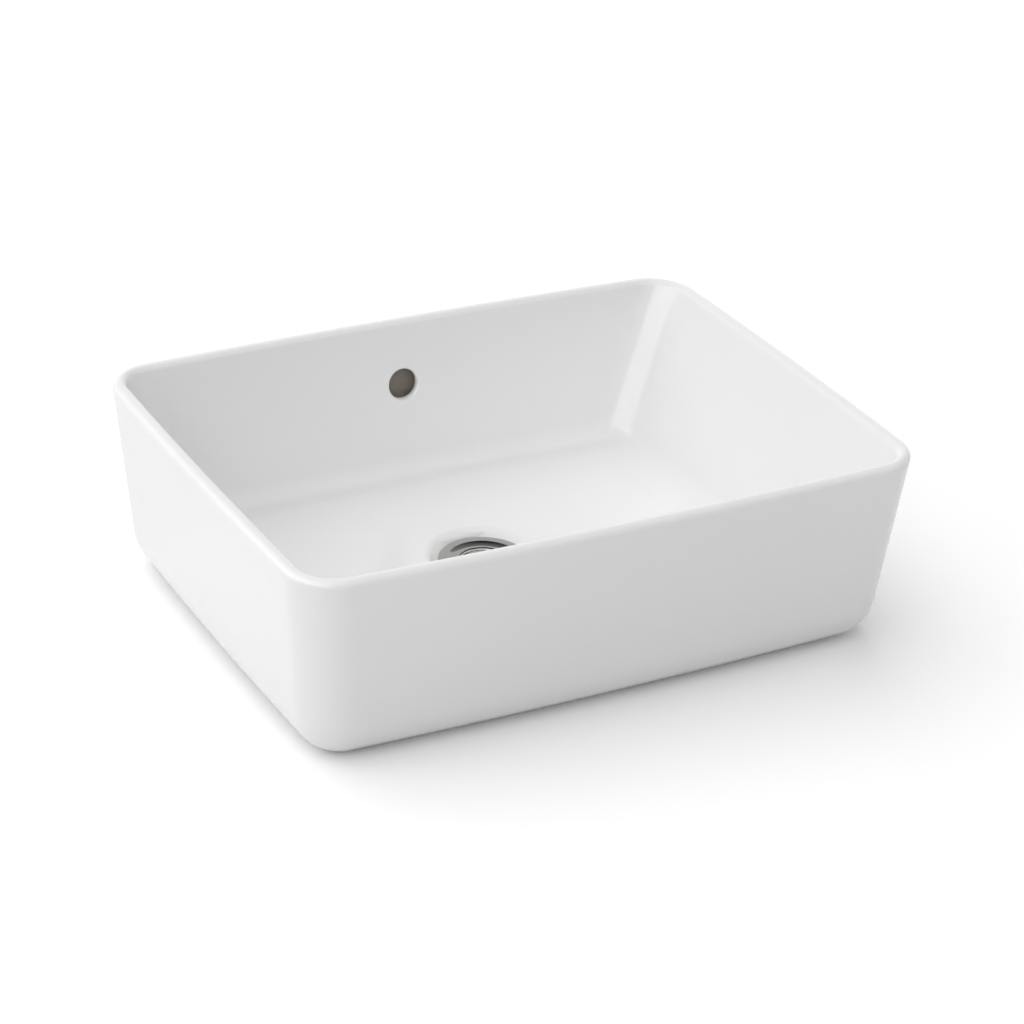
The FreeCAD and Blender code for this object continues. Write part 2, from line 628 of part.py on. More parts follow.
bevel = "0.3 * o_ring_wire"
o_ring = turned("stem_o_ring", [
    ("stem_radius + slip_gap", ring_foot + " + " + bevel), ("stem_radius + slip_gap + " + bevel, ring_foot),
    (o_ring_seat + " - " + bevel, ring_foot), (o_ring_seat, ring_foot + " + " + bevel),
    (o_ring_seat, ring_foot + " + o_ring_wire - " + bevel),
    (o_ring_seat + " - " + bevel, ring_foot + " + o_ring_wire"),
    ("stem_radius + slip_gap + " + bevel, ring_foot + " + o_ring_wire"),
    ("stem_radius + slip_gap", ring_foot + " + o_ring_wire - " + bevel),
])

index_bore = "stem_radius + slip_gap"
index_rim = chamber_radius + " - crown_gap"
index_ring = ring("index_ring", index_bore, index_rim, index_foot, index_foot + " + index_height")
tooth_gap = profile(index_ring, "index_tooth_gap", "XY_Plane", index_foot, [
    (index_rim + " - index_tooth_depth", "waste_y"),
    (index_rim + " + 1", "waste_y"),
    (index_rim + " + 1", "waste_y + index_tooth_width"),
    (index_rim, "waste_y + index_tooth_width"),
])
first_tooth_gap = extrude(index_ring, "Pocket", "index_first_tooth", tooth_gap, "index_height + 1",
                          reverse=True)
repeat_round(index_ring, "index_tooth_set", first_tooth_gap, doc.getObject("index_ring_section"),
             "index_teeth")

spring_line = doc.addObject("Part::Helix", "click_spring_line")
spring_rise = "((%s) - (%s) - spring_wire - 2 * spring_gap)" % (index_foot, spring_floor)
spring_line.setExpression("Height", bind(spring_rise))
spring_line.setExpression("Pitch", bind(spring_rise + " / spring_turns"))
spring_line.setExpression("Radius", bind("spring_coil"))
spring_wire = doc.addObject("Part::RegularPolygon", "click_spring_wire")
spring_wire.Polygon = 6
spring_wire.setExpression("Circumradius", bind("spring_wire / 2"))
spring_wire.setExpression("Placement.Base.x", bind("spring_coil"))
spring_wire.Placement.Rotation = FreeCAD.Rotation(FreeCAD.Vector(1, 0, 0), 90)
doc.recompute()
spring = doc.addObject("Part::Sweep", "click_spring")
spring.Sections = [spring_wire]
spring.Spine = (spring_line, ["Edge%d" % (i + 1) for i in range(len(spring_line.Shape.Edges))])
spring.Solid = True
spring.Frenet = True
spring.setExpression("Placement.Base.y", bind("waste_y"))
spring.setExpression("Placement.Base.z", bind(spring_floor + " + spring_wire / 2 + spring_gap"))


# ---------------------------------------------------------------- plug
# Shown closed: the seal hangs just over its seat and the cap lies a little below the flange.

cap_foot = seal_foot + " + seal_thickness"
cap_radius = "throat_radius - plug_gap"
stem_top = cap_foot + " + plug_edge / 2"

stem = turned("plug_stem", [
    ("0", crown_foot + " - stem_tail"),
    ("stem_radius", crown_foot + " - stem_tail"),
    ("stem_radius", crown_foot),
    (index_rim, crown_foot),
    (index_rim, crown_foot + " + crown_height"),
    ("stem_radius", crown_foot + " + crown_height"),
    ("stem_radius", stem_top),
    ("0", stem_top),
])
dome_edge = cap_radius + " - plug_edge_round"
cap = turned("plug_cap", [
    ("stem_radius + thread_gap", boss_foot), ("plug_boss", boss_foot), ("plug_boss", cap_foot),
    (cap_radius, cap_foot),
    (cap_radius, cap_foot + " + plug_edge - plug_edge_round", "plug_edge_round", "left"),
    (dome_edge, cap_foot + " + plug_edge", "((%s)^2 + plug_dome^2) / (2 * plug_dome)" % dome_edge, "left"),
    ("0", cap_foot + " + plug_edge + plug_dome"),
    ("0", stem_top + " + thread_gap"), ("stem_radius + thread_gap", stem_top + " + thread_gap"),
])
seal = ring("plug_seal", "plug_boss + thread_gap", "tail_bore + seal_overlap", seal_foot, cap_foot)
retainer = ring("seal_retainer", "plug_boss + thread_gap", "tail_bore - plug_gap",
                seal_foot + " - retainer_thickness", seal_foot)


# ---------------------------------------------------------------- check and write

doc.recompute()
PIECES = [basin, waste, flange_gasket, lower_gasket, friction_washer, backnut, cartridge_nut, housing,
          lid, o_ring, index_ring, spring, stem, cap, seal, retainer]
failed = [o.Name for o in doc.Objects if "Invalid" in o.State or "Error" in o.State]
if failed:
    raise RuntimeError("failed objects: " + ", ".join(failed))
os.makedirs("parts", exist_ok=True)
for piece in PIECES:
    shape = piece.Shape
    if shape.isNull() or not shape.isValid() or len(shape.Solids) != 1:
        raise RuntimeError("bad solid: " + piece.Label)
    shape.exportStep("parts/%s.step" % piece.Label)
    print("%-20s %9.0f mm3" % (piece.Label, shape.Volume))
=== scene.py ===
import math

import bmesh
import bpy
import numpy as np
from mathutils import Matrix, Vector


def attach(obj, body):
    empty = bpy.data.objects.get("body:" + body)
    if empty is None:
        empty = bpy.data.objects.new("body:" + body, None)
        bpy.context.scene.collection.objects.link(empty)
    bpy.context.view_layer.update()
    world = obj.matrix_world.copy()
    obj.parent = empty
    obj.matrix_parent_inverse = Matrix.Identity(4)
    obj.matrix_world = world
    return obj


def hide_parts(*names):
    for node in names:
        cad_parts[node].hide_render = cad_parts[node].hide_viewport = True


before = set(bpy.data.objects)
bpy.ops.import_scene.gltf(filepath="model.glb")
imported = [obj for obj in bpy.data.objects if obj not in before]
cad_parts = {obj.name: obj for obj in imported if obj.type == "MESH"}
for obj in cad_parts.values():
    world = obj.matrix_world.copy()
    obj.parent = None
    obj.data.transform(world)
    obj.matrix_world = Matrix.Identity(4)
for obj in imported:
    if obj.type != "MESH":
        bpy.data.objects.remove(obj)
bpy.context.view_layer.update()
MM = 0.001

# ---------------------------------------------------------------- camera
# A long lens about 2.3 m away, a little above the basin and to its left.
# It comes first, so that every later piece can be judged in its frame.

lens_azimuth, lens_height, lens_roll = math.radians(-29.25), math.radians(27.497), math.radians(2.842)
lens_distance = 2315.94                         # millimetres from the point it is aimed at
focal_pixels, frame_pixels, sensor = 3127.09, 1024, 36.0
aim = Vector((1.74, -10.265, 76.5)) * MM
back = Vector((math.sin(lens_azimuth) * math.cos(lens_height),
               -math.cos(lens_azimuth) * math.cos(lens_height), math.sin(lens_height)))
level_right = (-back).cross(Vector((0, 0, 1))).normalized()
level_up = level_right.cross(-back)
right = math.cos(lens_roll) * level_right + math.sin(lens_roll) * level_up
up = math.cos(lens_roll) * level_up - math.sin(lens_roll) * level_right
eye = [target + way * lens_distance * MM for target, way in zip(aim, back)]


def linked(name, data):
    """A new object in the scene, with its mesh, light or camera."""
    made = bpy.data.objects.new(name, data)
    bpy.context.scene.collection.objects.link(made)
    return made


camera = linked("camera", bpy.data.cameras.new("camera"))
camera.data.sensor_width = sensor
camera.data.lens = focal_pixels / frame_pixels * sensor
camera.data.clip_end = 50.0
camera.matrix_world = Matrix((
    (right.x, up.x, back.x, eye[0]),
    (right.y, up.y, back.y, eye[1]),
    (right.z, up.z, back.z, eye[2]),
    (0, 0, 0, 1),
))
bpy.context.scene.camera = camera

# ---------------------------------------------------------------- basin
# Slip-cast vitreous china: an outer skirt and a bowl that share the rim, with an open hollow between them.
# It is dipped in white glaze, which runs soft over every edge, and stands on a foot ring that was wiped bare.

WIDTH, DEPTH, HEIGHT = 500.0, 380.0, 153.0      # at the rim, and foot to rim
BOW = 5500.0                                    # plan radius of the slightly bowed sides
CLAY, RIM = 9.0, 10.5                           # thickness of the walls, and width of the rim
SKIRT_TAPER = (17.0, 14.0)                      # the foot is set in by this much at each side
SKIRT_CORNERS = (32.0, 38.0)                    # radius of the corners at the foot and at the rim
BOWL_TAPER = (52.0, 25.0)
BOWL_CORNERS = (30.0, 25.0)                     # at the floor and at the rim
SHARPEST_SKIRT, SHARPEST_BOWL = 4.0, 6.0        # least corners, where the walls round in to foot and floor
FOOT_ROUND, RIM_OUTER, RIM_INNER, FLOOR_ROUND = 34.0, 5.0, 5.0, 26.0
FOOT_CORNER, FOOT_EDGE, FOOT_LIFT = 13.0, 0.7, 0.6   # inner edge of the foot ring, with its small bevel
WIPED = 0.7                                     # up to this level the glaze is wiped off the foot
FLOOR, FALL = 27.0, 3.4                         # floor's edge above the foot, and its fall to the waste
FLOOR_CIRCLE, WASTE_CORNER = 53.0, 20.0         # the floor draws in to a circle and its corners open
START_SHARE, START_FALL, SAG = 0.1, 0.6, 0.06   # it falls gently beside the walls, then sags a little
WASTE_Y, WASTE_HOLE, COUNTERSINK = 26.0, 23.5, 2.6
DIMPLE, DIMPLE_MIDDLE, SEAT, SEAT_LEVEL = 47.0, 40.2, 36.5, 17.0
DIMPLE_EDGE, DIMPLE_FOOT = 8.6, 13.0            # radii of its bends
CHAMBER, CHAMBER_HEAD, CHAMBER_FOOT = 30.0, 11.5, 5.5   # ring round the waste that the duct runs into
BOSS, BOSS_FOOT, BOSS_EDGE, HOLE_EDGE = 47.0, 1.5, 1.0, 0.8
SHELL_BEVEL, SHELL_CORNER = 14.0, 25.0          # inside the hollow, above the foot and under the floor
HOLE_LEVEL, HOLE_RADIUS, HOLE_LIP, HOLE_DEPTH = 102.5, 12.0, 2.2, 5.4   # overflow hole in the back wall
HOLE_ROW, HOLE_ROWS = 4.6, 5                    # even rows of faces above and below its middle
SIDE_STEPS, CORNER_STEPS, FRONT_STEPS = 30, 16, 50   # quads: half a short side, a corner, half a long side


def linear(colour):
    """An sRGB hex colour as linear RGBA."""
    parts = [int(colour[i:i + 2], 16) / 255 for i in (0, 2, 4)]
    return [c / 12.92 if c <= 0.04045 else ((c + 0.055) / 1.055) ** 2.4 for c in parts] + [1.0]


def add(tree, kind, sockets=None, **settings):
    """A node with its settings; each socket gets a number, or a link from a node or from a node's socket."""
    made = tree.nodes.new(kind)
    for key, setting in settings.items():
        setattr(made, key, setting)
    for key, given in (sockets or {}).items():
        if isinstance(given, bpy.types.Node):
            given = next(s for s in given.outputs if s.enabled)
        if isinstance(given, bpy.types.NodeSocket):
            tree.links.new(given, made.inputs[key])
        else:
            made.inputs[key].default_value = given
    return made


def skirt(level, inset=0.0):
    """Half sizes and corner radius of the skirt at a level, with the foot and the outer rim rounded."""
    halves = []
    for size, taper in zip((WIDTH, DEPTH), SKIRT_TAPER):
        slope = taper / HEIGHT
        half = size / 2 - taper + slope * level
        lean = math.hypot(1, slope)
        if inset == 0 and level < FOOT_ROUND * (1 - slope / lean):
            centre = size / 2 - taper - FOOT_ROUND * (lean - slope)
            half = centre + math.sqrt(FOOT_ROUND**2 - (FOOT_ROUND - level) ** 2)
        if inset == 0 and level > HEIGHT - RIM_OUTER * (1 + slope / lean):
            centre = size / 2 - RIM_OUTER * (slope + lean)
            half = centre + math.sqrt(max(RIM_OUTER**2 - (level - HEIGHT + RIM_OUTER) ** 2, 0))
        halves.append(half - inset)
    straight = DEPTH / 2 - SKIRT_TAPER[1] * (1 - level / HEIGHT)
    at_foot, at_rim = SKIRT_CORNERS
    corner = at_foot + (at_rim - at_foot) * level / HEIGHT - (straight - halves[1])
    return halves[0], halves[1], max(corner, SHARPEST_SKIRT), level


def bowl(level, outset=0.0):
    """Half sizes and corner radius of the bowl at a level, with the inner rim and the floor rounded."""
    halves = []
    for size, taper in zip((WIDTH, DEPTH), BOWL_TAPER):
        slope = taper / (HEIGHT - FLOOR)
        wall = size / 2 - RIM - slope * (HEIGHT - level)
        half, lean = wall, math.hypot(1, slope)
        if outset == 0 and level > HEIGHT - RIM_INNER * (1 - slope / lean):
            centre = size / 2 - RIM + RIM_INNER * (lean - slope)
            half = centre - math.sqrt(max(RIM_INNER**2 - (level - HEIGHT + RIM_INNER) ** 2, 0))
        if outset == 0 and level < FLOOR + FLOOR_ROUND * (1 - slope / lean):
            centre = wall + slope * (FLOOR + FLOOR_ROUND - level) - FLOOR_ROUND * lean
            half = centre + math.sqrt(max(FLOOR_ROUND**2 - (FLOOR + FLOOR_ROUND - level) ** 2, 0))
        halves.append(half + outset)
    straight = DEPTH / 2 - RIM - BOWL_TAPER[1] * (HEIGHT - level) / (HEIGHT - FLOOR)
    at_floor, at_rim = BOWL_CORNERS
    corner = at_floor - (at_floor - at_rim) * (level - FLOOR) / (HEIGHT - FLOOR) + halves[1] - straight
    return halves[0], halves[1], max(corner, SHARPEST_BOWL), level


def arc(first, last, steps):
    """Angles in radians from one to another in degrees, both included, in even steps."""
    return [math.radians(first + (last - first) * i / steps) for i in range(steps + 1)]


def bend(first, last, radius, left, steps=8):
    """Points on the short arc from one point of a section to another, bending left or right on its way."""
    first, last = Vector(first), Vector(last)
    chord = last - first
    side = Vector((-chord.y, chord.x)).normalized() * (1 if left else -1)
    middle = (first + last) / 2 + side * math.sqrt(radius**2 - chord.length_squared / 4)
    start = math.atan2(first.y - middle.y, first.x - middle.x)
    sweep = 2 * math.asin(chord.length / 2 / radius) * (1 if left else -1)
    turns = [start + sweep * i / steps for i in range(1, steps + 1)]
    return [(middle.x + radius * math.cos(t), middle.y + radius * math.sin(t)) for t in turns]


# Stations of the closed section, once round: half sizes, corner, level, share of circle, radius of circle.
# The levels lie closer together where the walls bend and where the overflow hole will be.
foot_inner = [skirt(0.0)[0] - CLAY, skirt(0.0)[1] - CLAY, FOOT_CORNER]
foot_sole = [foot_inner[0] + FOOT_EDGE, foot_inner[1] + FOOT_EDGE, FOOT_CORNER - FOOT_LIFT]
floor_edge = bowl(FLOOR)
stations = [(*foot_inner, FOOT_LIFT, 0, 0), (*foot_sole, 0.0, 0, 0)]
stations += [(*skirt(FOOT_ROUND * (1 - math.cos(a))), 0, 0) for a in arc(0, 78, 11)]
stations += [(*skirt(z), 0, 0) for z in (30.2, 35, 44, 60, 78, 96, 114, 130, 141, 146.5)]
stations += [(*skirt(HEIGHT - RIM_OUTER + RIM_OUTER * math.sin(a)), 0, 0) for a in arc(-5, 90, 10)]
stations += [(*bowl(HEIGHT - RIM_INNER + RIM_INNER * math.sin(a)), 0, 0) for a in arc(90, 10, 10)]
stations += [(*bowl(z), 0, 0) for z in (146.5, 143, 139, 134.6, 130.1)]
stations += [(*bowl(HOLE_LEVEL + HOLE_ROW * k), 0, 0) for k in range(HOLE_ROWS, -HOLE_ROWS - 1, -1)]
stations += [(*bowl(z), 0, 0) for z in (74.9, 70.3, 65.7, 61.1, 56)]
stations += [(*bowl(FLOOR + FLOOR_ROUND * (1 - math.cos(a))), 0, 0) for a in arc(80, 0, 14)]
for share in (0.05, 0.12, 0.22, 0.34, 0.46, 0.58, 0.7, 0.8, 0.88, 0.94, 1.0):
    sink = FALL * (share - SAG * math.sin(math.pi * share) ** 2)
    if share < START_SHARE:
        sink = FALL * share * START_FALL
    corner = SHARPEST_BOWL + (WASTE_CORNER - SHARPEST_BOWL) * min(share * 4, 1)
    stations.append((floor_edge[0], floor_edge[1], corner, FLOOR - sink, share, FLOOR_CIRCLE))
slope_middle = (DIMPLE_MIDDLE, (FLOOR - FALL + SEAT_LEVEL) / 2)
hole_section = [(50, FLOOR - FALL), (DIMPLE, FLOOR - FALL)]
hole_section += bend((DIMPLE, FLOOR - FALL), slope_middle, DIMPLE_EDGE, True, 10)
hole_section += bend(slope_middle, (SEAT, SEAT_LEVEL), DIMPLE_FOOT, False, 6)
hole_section += [(WASTE_HOLE + COUNTERSINK, SEAT_LEVEL), (WASTE_HOLE, SEAT_LEVEL - COUNTERSINK),
                 (WASTE_HOLE, CHAMBER_HEAD), (CHAMBER, CHAMBER_HEAD),
                 (CHAMBER, CHAMBER_FOOT), (WASTE_HOLE, CHAMBER_FOOT),
                 (WASTE_HOLE, BOSS_FOOT + HOLE_EDGE), (WASTE_HOLE + HOLE_EDGE, BOSS_FOOT),
                 (BOSS - BOSS_EDGE, BOSS_FOOT), (BOSS, BOSS_FOOT + BOSS_EDGE), (BOSS, FLOOR - CLAY)]
stations += [(100, 100, WASTE_CORNER, level, 1, radius) for radius, level in hole_section]
shell_floor = bowl(FLOOR - CLAY, CLAY - SHELL_BEVEL)
for share in (0.75, 0.5, 0.25, 0.0):
    stations.append((shell_floor[0], shell_floor[1], SHELL_CORNER, FLOOR - CLAY, share, BOSS))
stations += [(*bowl(z, CLAY), 0, 0) for z in (32, 56, 81)]
stations += [(*skirt(z, CLAY), 0, 0) for z in (82, 56, 23)]
stations += [(*skirt(CLAY, CLAY + SHELL_BEVEL), 0, 0), (*foot_inner, CLAY, 0, 0)]


def opened(name, inputs):
    """A new geometry tree with a mesh and these as its named inputs, and the sockets that bring them in."""
    tree = bpy.data.node_groups.new(name, "GeometryNodeTree")
    for label, kind in {"Geometry": "Geometry", **inputs}.items():
        tree.interface.new_socket(label, in_out="INPUT", socket_type="NodeSocket" + kind)
    tree.interface.new_socket("Geometry", in_out="OUTPUT", socket_type="NodeSocketGeometry")
    return tree, add(tree, "NodeGroupInput").outputs


def ended(tree, geometry, finish):
    """The end of a tree: its instances are made real and it gets its finish."""
    whole = add(tree, "GeometryNodeRealizeInstances", {"Geometry": geometry})
    dressed = add(tree, "GeometryNodeSetMaterial", {"Geometry": whole, "Material": finish})
    add(tree, "NodeGroupOutput", {"Geometry": dressed})


# The tree sweeps a bowed rectangle with round corners through the stations. Every outline is built from the
# centres of its arcs: two bows of one radius, and the corner that touches both from inside.
MATH, VECTOR = "ShaderNodeMath", "ShaderNodeVectorMath"
loft, given = opened("bowed_section_loft", {
    "Bow radius": "Float", "Stations": "Int", "Short side steps": "Int", "Corner steps": "Int",
    "Long side steps": "Int", "Waste centre": "Vector", "Glaze": "Material"})
side_and_corner = add(loft, MATH, {0: given["Short side steps"], 1: given["Corner steps"]}, operation="ADD")
quarter = add(loft, MATH, {0: side_and_corner, 1: given["Long side steps"]}, operation="ADD")
around = add(loft, MATH, {0: quarter, 1: 4.0, 2: 1.0}, operation="MULTIPLY_ADD")
rows = add(loft, MATH, {0: given["Stations"], 1: 1.0}, operation="ADD")
grid = add(loft, "GeometryNodeMeshGrid", {"Vertices X": around, "Vertices Y": rows})
index = add(loft, "GeometryNodeInputIndex")
column = add(loft, MATH, {0: add(loft, MATH, {0: index, 1: rows}, operation="DIVIDE")}, operation="FLOOR")
row = add(loft, MATH, {0: add(loft, MATH, {0: index, 1: rows}, operation="MODULO"), 1: given["Stations"]},
          operation="MODULO")
half = add(loft, "GeometryNodeSampleIndex", {
    "Geometry": given["Geometry"], "Index": row,
    "Value": add(loft, "GeometryNodeInputNamedAttribute", {"Name": "half"}, data_type="FLOAT_VECTOR"),
}, data_type="FLOAT_VECTOR")
place = add(loft, "GeometryNodeSampleIndex", {
    "Geometry": given["Geometry"], "Index": row,
    "Value": add(loft, "GeometryNodeInputNamedAttribute", {"Name": "place"}, data_type="FLOAT_VECTOR"),
}, data_type="FLOAT_VECTOR")
half = add(loft, "ShaderNodeSeparateXYZ", {0: half}).outputs
place = add(loft, "ShaderNodeSeparateXYZ", {0: place}).outputs

# centres of the bows lie on the axes, the corner's centre as far from one as from the other
reach_x = add(loft, MATH, {0: given["Bow radius"], 1: half["X"]}, operation="SUBTRACT")
reach_y = add(loft, MATH, {0: given["Bow radius"], 1: half["Y"]}, operation="SUBTRACT")
corner_reach = add(loft, MATH, {0: given["Bow radius"], 1: half["Z"]}, operation="SUBTRACT")
reaches = add(loft, "ShaderNodeCombineXYZ", {0: reach_x, 1: reach_y})
swapped = add(loft, "ShaderNodeCombineXYZ", {0: reach_y, 1: reach_x})
apart = add(loft, VECTOR, {0: reaches}, operation="LENGTH").outputs["Value"]
half_apart = add(loft, MATH, {0: apart, 1: 0.5}, operation="MULTIPLY")
height_squared = add(loft, MATH, {
    0: add(loft, MATH, {0: corner_reach, 1: 2.0}, operation="POWER"),
    1: add(loft, MATH, {0: half_apart, 1: 2.0}, operation="POWER"),
}, operation="SUBTRACT")
beside = add(loft, VECTOR, {0: reaches, "Scale": -0.5}, operation="SCALE")
along = add(loft, VECTOR, {0: add(loft, VECTOR, {0: swapped}, operation="NORMALIZE"),
                      "Scale": add(loft, MATH, {0: height_squared}, operation="SQRT")}, operation="SCALE")
corner_centre = add(loft, VECTOR, {0: beside, 1: along}, operation="ADD")
centre = add(loft, "ShaderNodeSeparateXYZ", {0: corner_centre}).outputs
tilt_x = add(loft, MATH, {0: centre["Y"], 1: add(loft, MATH, {0: centre["X"], 1: reach_x}, operation="ADD")},
             operation="ARCTAN2")
tilt_y = add(loft, MATH, {0: centre["X"], 1: add(loft, MATH, {0: centre["Y"], 1: reach_y}, operation="ADD")},
             operation="ARCTAN2")
corner_turn = add(loft, MATH, {
    0: math.pi / 2, 1: add(loft, MATH, {0: tilt_x, 1: tilt_y}, operation="ADD")}, operation="SUBTRACT")

# place in the quarter: half a short side, a corner, then half a long side
fold = add(loft, MATH, {0: column, 1: quarter}, operation="PINGPONG")
part_1 = add(loft, "ShaderNodeMapRange", {"Value": fold, "From Min": 0.0,
                                          "From Max": given["Short side steps"]})
part_2 = add(loft, "ShaderNodeMapRange", {"Value": fold, "From Min": given["Short side steps"],
                                          "From Max": side_and_corner})
part_3 = add(loft, "ShaderNodeMapRange", {"Value": fold, "From Min": side_and_corner, "From Max": quarter})
turn = add(loft, MATH, {0: part_1, 1: tilt_x}, operation="MULTIPLY")
turn = add(loft, MATH, {0: part_2, 1: corner_turn, 2: turn}, operation="MULTIPLY_ADD")
turn = add(loft, MATH, {0: part_3, 1: tilt_y, 2: turn}, operation="MULTIPLY_ADD")
on_side = add(loft, MATH, {0: fold, 1: given["Short side steps"]}, operation="LESS_THAN")
on_front = add(loft, MATH, {0: fold, 1: side_and_corner}, operation="GREATER_THAN")
on_corner = add(loft, MATH, {0: add(loft, MATH, {0: 1.0, 1: on_side}, operation="SUBTRACT"), 1: on_front},
                operation="SUBTRACT")
radius = add(loft, "ShaderNodeMix", {"Factor": on_corner, "A": given["Bow radius"], "B": half["Z"]},
             data_type="FLOAT")
middle = add(loft, VECTOR, {0: corner_centre, "Scale": on_corner}, operation="SCALE")
middle = add(loft, VECTOR, {
    0: middle,
    1: add(loft, "ShaderNodeCombineXYZ", {
        0: add(loft, MATH, {0: add(loft, MATH, {0: on_side, 1: reach_x}, operation="MULTIPLY"), 1: -1.0},
               operation="MULTIPLY"),
        1: add(loft, MATH, {0: add(loft, MATH, {0: on_front, 1: reach_y}, operation="MULTIPLY"), 1: -1.0},
               operation="MULTIPLY"),
    }),
}, operation="ADD")
spoke = add(loft, "ShaderNodeCombineXYZ", {0: add(loft, MATH, {0: turn}, operation="COSINE"),
                                           1: add(loft, MATH, {0: turn}, operation="SINE")})
point = add(loft, VECTOR, {0: middle, 1: add(loft, VECTOR, {0: spoke, "Scale": radius}, operation="SCALE")},
            operation="ADD")

# the other three quarters are mirrored: left half, then front half
from_left = add(loft, MATH, {0: column, 1: add(loft, MATH, {0: quarter, 1: 2.0}, operation="MULTIPLY")},
                operation="SUBTRACT")
is_left = add(loft, MATH, {0: add(loft, MATH, {0: from_left}, operation="ABSOLUTE"), 1: quarter},
              operation="LESS_THAN")
is_front = add(loft, MATH, {0: from_left, 1: 0.0}, operation="GREATER_THAN")
mirror = add(loft, "ShaderNodeCombineXYZ", {
    0: add(loft, MATH, {0: is_left, 1: -2.0, 2: 1.0}, operation="MULTIPLY_ADD"),
    1: add(loft, MATH, {0: is_front, 1: -2.0, 2: 1.0}, operation="MULTIPLY_ADD")})
point = add(loft, VECTOR, {0: point, 1: mirror}, operation="MULTIPLY")

# towards the waste the outline draws in to a circle round its centre, and each station has its level
outward = add(loft, VECTOR, {0: point, 1: given["Waste centre"]}, operation="SUBTRACT")
circle = add(loft, VECTOR, {
    0: given["Waste centre"],
    1: add(loft, VECTOR, {0: add(loft, VECTOR, {0: outward}, operation="NORMALIZE"), "Scale": place["Z"]},
           operation="SCALE"),
}, operation="ADD")
point = add(loft, "ShaderNodeMix", {"Factor": place["Y"], "A": point, "B": circle}, data_type="VECTOR")
point = add(loft, VECTOR, {0: point, 1: add(loft, "ShaderNodeCombineXYZ", {2: place["X"]})}, operation="ADD")
moved = add(loft, "GeometryNodeSetPosition", {"Geometry": grid, "Position": point})
closed = add(loft, "GeometryNodeMergeByDistance", {"Geometry": moved, "Distance": 2e-6})
ended(loft, closed, given["Glaze"])


def grown(name, mesh, tree, inputs):
    """A mesh grown by a tree: the modifier's inputs are set by identifier, then the result is made plain."""
    seedling = linked(name, mesh)
    modifier = seedling.modifiers.new(name, "NODES")
    modifier.node_group = tree
    for item in tree.interface.items_tree:
        if item.in_out == "INPUT" and item.name in inputs:
            modifier[item.identifier] = inputs[item.name]
    ready = seedling.evaluated_get(bpy.context.evaluated_depsgraph_get())
    plain = bpy.data.meshes.new_from_object(ready)
    seedling.modifiers.remove(modifier)
    seedling.data = plain
    return seedling


def emptied(owner):
    """The node tree of a new material or world, with nothing in it."""
    owner.use_nodes = True
    owner.node_tree.nodes.clear()
    return owner.node_tree


# Vitreous china glaze: a thick, clear-topped white with a soft gloss. The fired surface is never quite flat,
# so reflections bend a little over 30 mm or so.
glaze = bpy.data.materials.new("vitreous_china_glaze")
nodes = emptied(glaze)
where = add(nodes, "ShaderNodeTexCoord")
drift = add(nodes, "ShaderNodeTexNoise", {"Vector": where.outputs["Object"], "Scale": 9.0, "Detail": 2.0})
white = add(nodes, "ShaderNodeMix", {
    "Factor": drift.outputs["Fac"], 6: linear("EDEDED"), 7: linear("F0F0F0")}, data_type="RGBA")
waves = add(nodes, "ShaderNodeTexNoise", {"Vector": where.outputs["Object"], "Scale": 33.0, "Detail": 1.0})
ripple = add(nodes, "ShaderNodeBump", {"Height": waves.outputs["Fac"], "Strength": 0.3, "Distance": 0.0001})
surface = add(nodes, "ShaderNodeBsdfPrincipled", {
    "Base Color": white.outputs[2], "Roughness": 0.14, "Normal": ripple, "IOR": 1.52})
add(nodes, "ShaderNodeOutputMaterial", {"Surface": surface})

# Bare fired clay, matt with a grit of about a millimetre: pale where the glaze is wiped off the ground foot.
# In the overflow duct, where the glaze never reached, the clay is painted dark brown-grey as painted shade.
foot_clay = bpy.data.materials.new("bare_fired_clay")
painted_shade_duct_clay = bpy.data.materials.new("clay_painted_with_duct_shade")
for clay, shades in ((foot_clay, ("CDC6B8", "DAD4C8")), (painted_shade_duct_clay, ("817A70", "938C82"))):
    nodes = emptied(clay)
    where = add(nodes, "ShaderNodeTexCoord")
    grit = add(nodes, "ShaderNodeTexNoise", {
        "Vector": where.outputs["Object"], "Scale": 900.0, "Detail": 3.0})
    body = add(nodes, "ShaderNodeMix", {
        "Factor": grit.outputs["Fac"], 6: linear(shades[0]), 7: linear(shades[1])}, data_type="RGBA")
    surface = add(nodes, "ShaderNodeBsdfPrincipled", {"Base Color": body.outputs[2], "Roughness": 0.85})
    add(nodes, "ShaderNodeOutputMaterial", {"Surface": surface})

section = bpy.data.meshes.new("basin_section")
section.from_pydata([(0, 0, 0)] * len(stations), [], [])
for name, first in (("half", 0), ("place", 3)):
    table = np.array([(s[0], s[1], s[2], s[3], s[4] / MM, s[5]) for s in stations])[:, first:first + 3] * MM
    section.attributes.new(name, "FLOAT_VECTOR", "POINT").data.foreach_set("vector", table.ravel())
basin = grown("basin", section, loft, {
    "Bow radius": BOW * MM, "Stations": len(stations), "Short side steps": SIDE_STEPS,
    "Corner steps": CORNER_STEPS, "Long side steps": FRONT_STEPS,
    "Waste centre": (0.0, WASTE_Y * MM, 0.0), "Glaze": glaze})
basin.data.materials.clear()
for finish in (glaze, painted_shade_duct_clay, foot_clay):
    basin.data.materials.append(finish)

# The overflow hole is punched through the bowl's back wall while the clay is soft, so its edge is rounded by
# the glaze. Behind it lies the mouth of the duct, a flat pocket in the clay.
skin = bmesh.new()
skin.from_mesh(basin.data)
window_half, back_wall = HOLE_ROW * HOLE_ROWS, 150.0


def in_window(face):
    """Whether a face lies where the hole is punched: on the bowl's back wall, not on the skirt behind."""
    middle = face.calc_center_median() / MM
    return (abs(middle.x) < window_half and abs(middle.z - HOLE_LEVEL) < window_half
            and back_wall < middle.y < bowl(middle.z)[1] + 2)


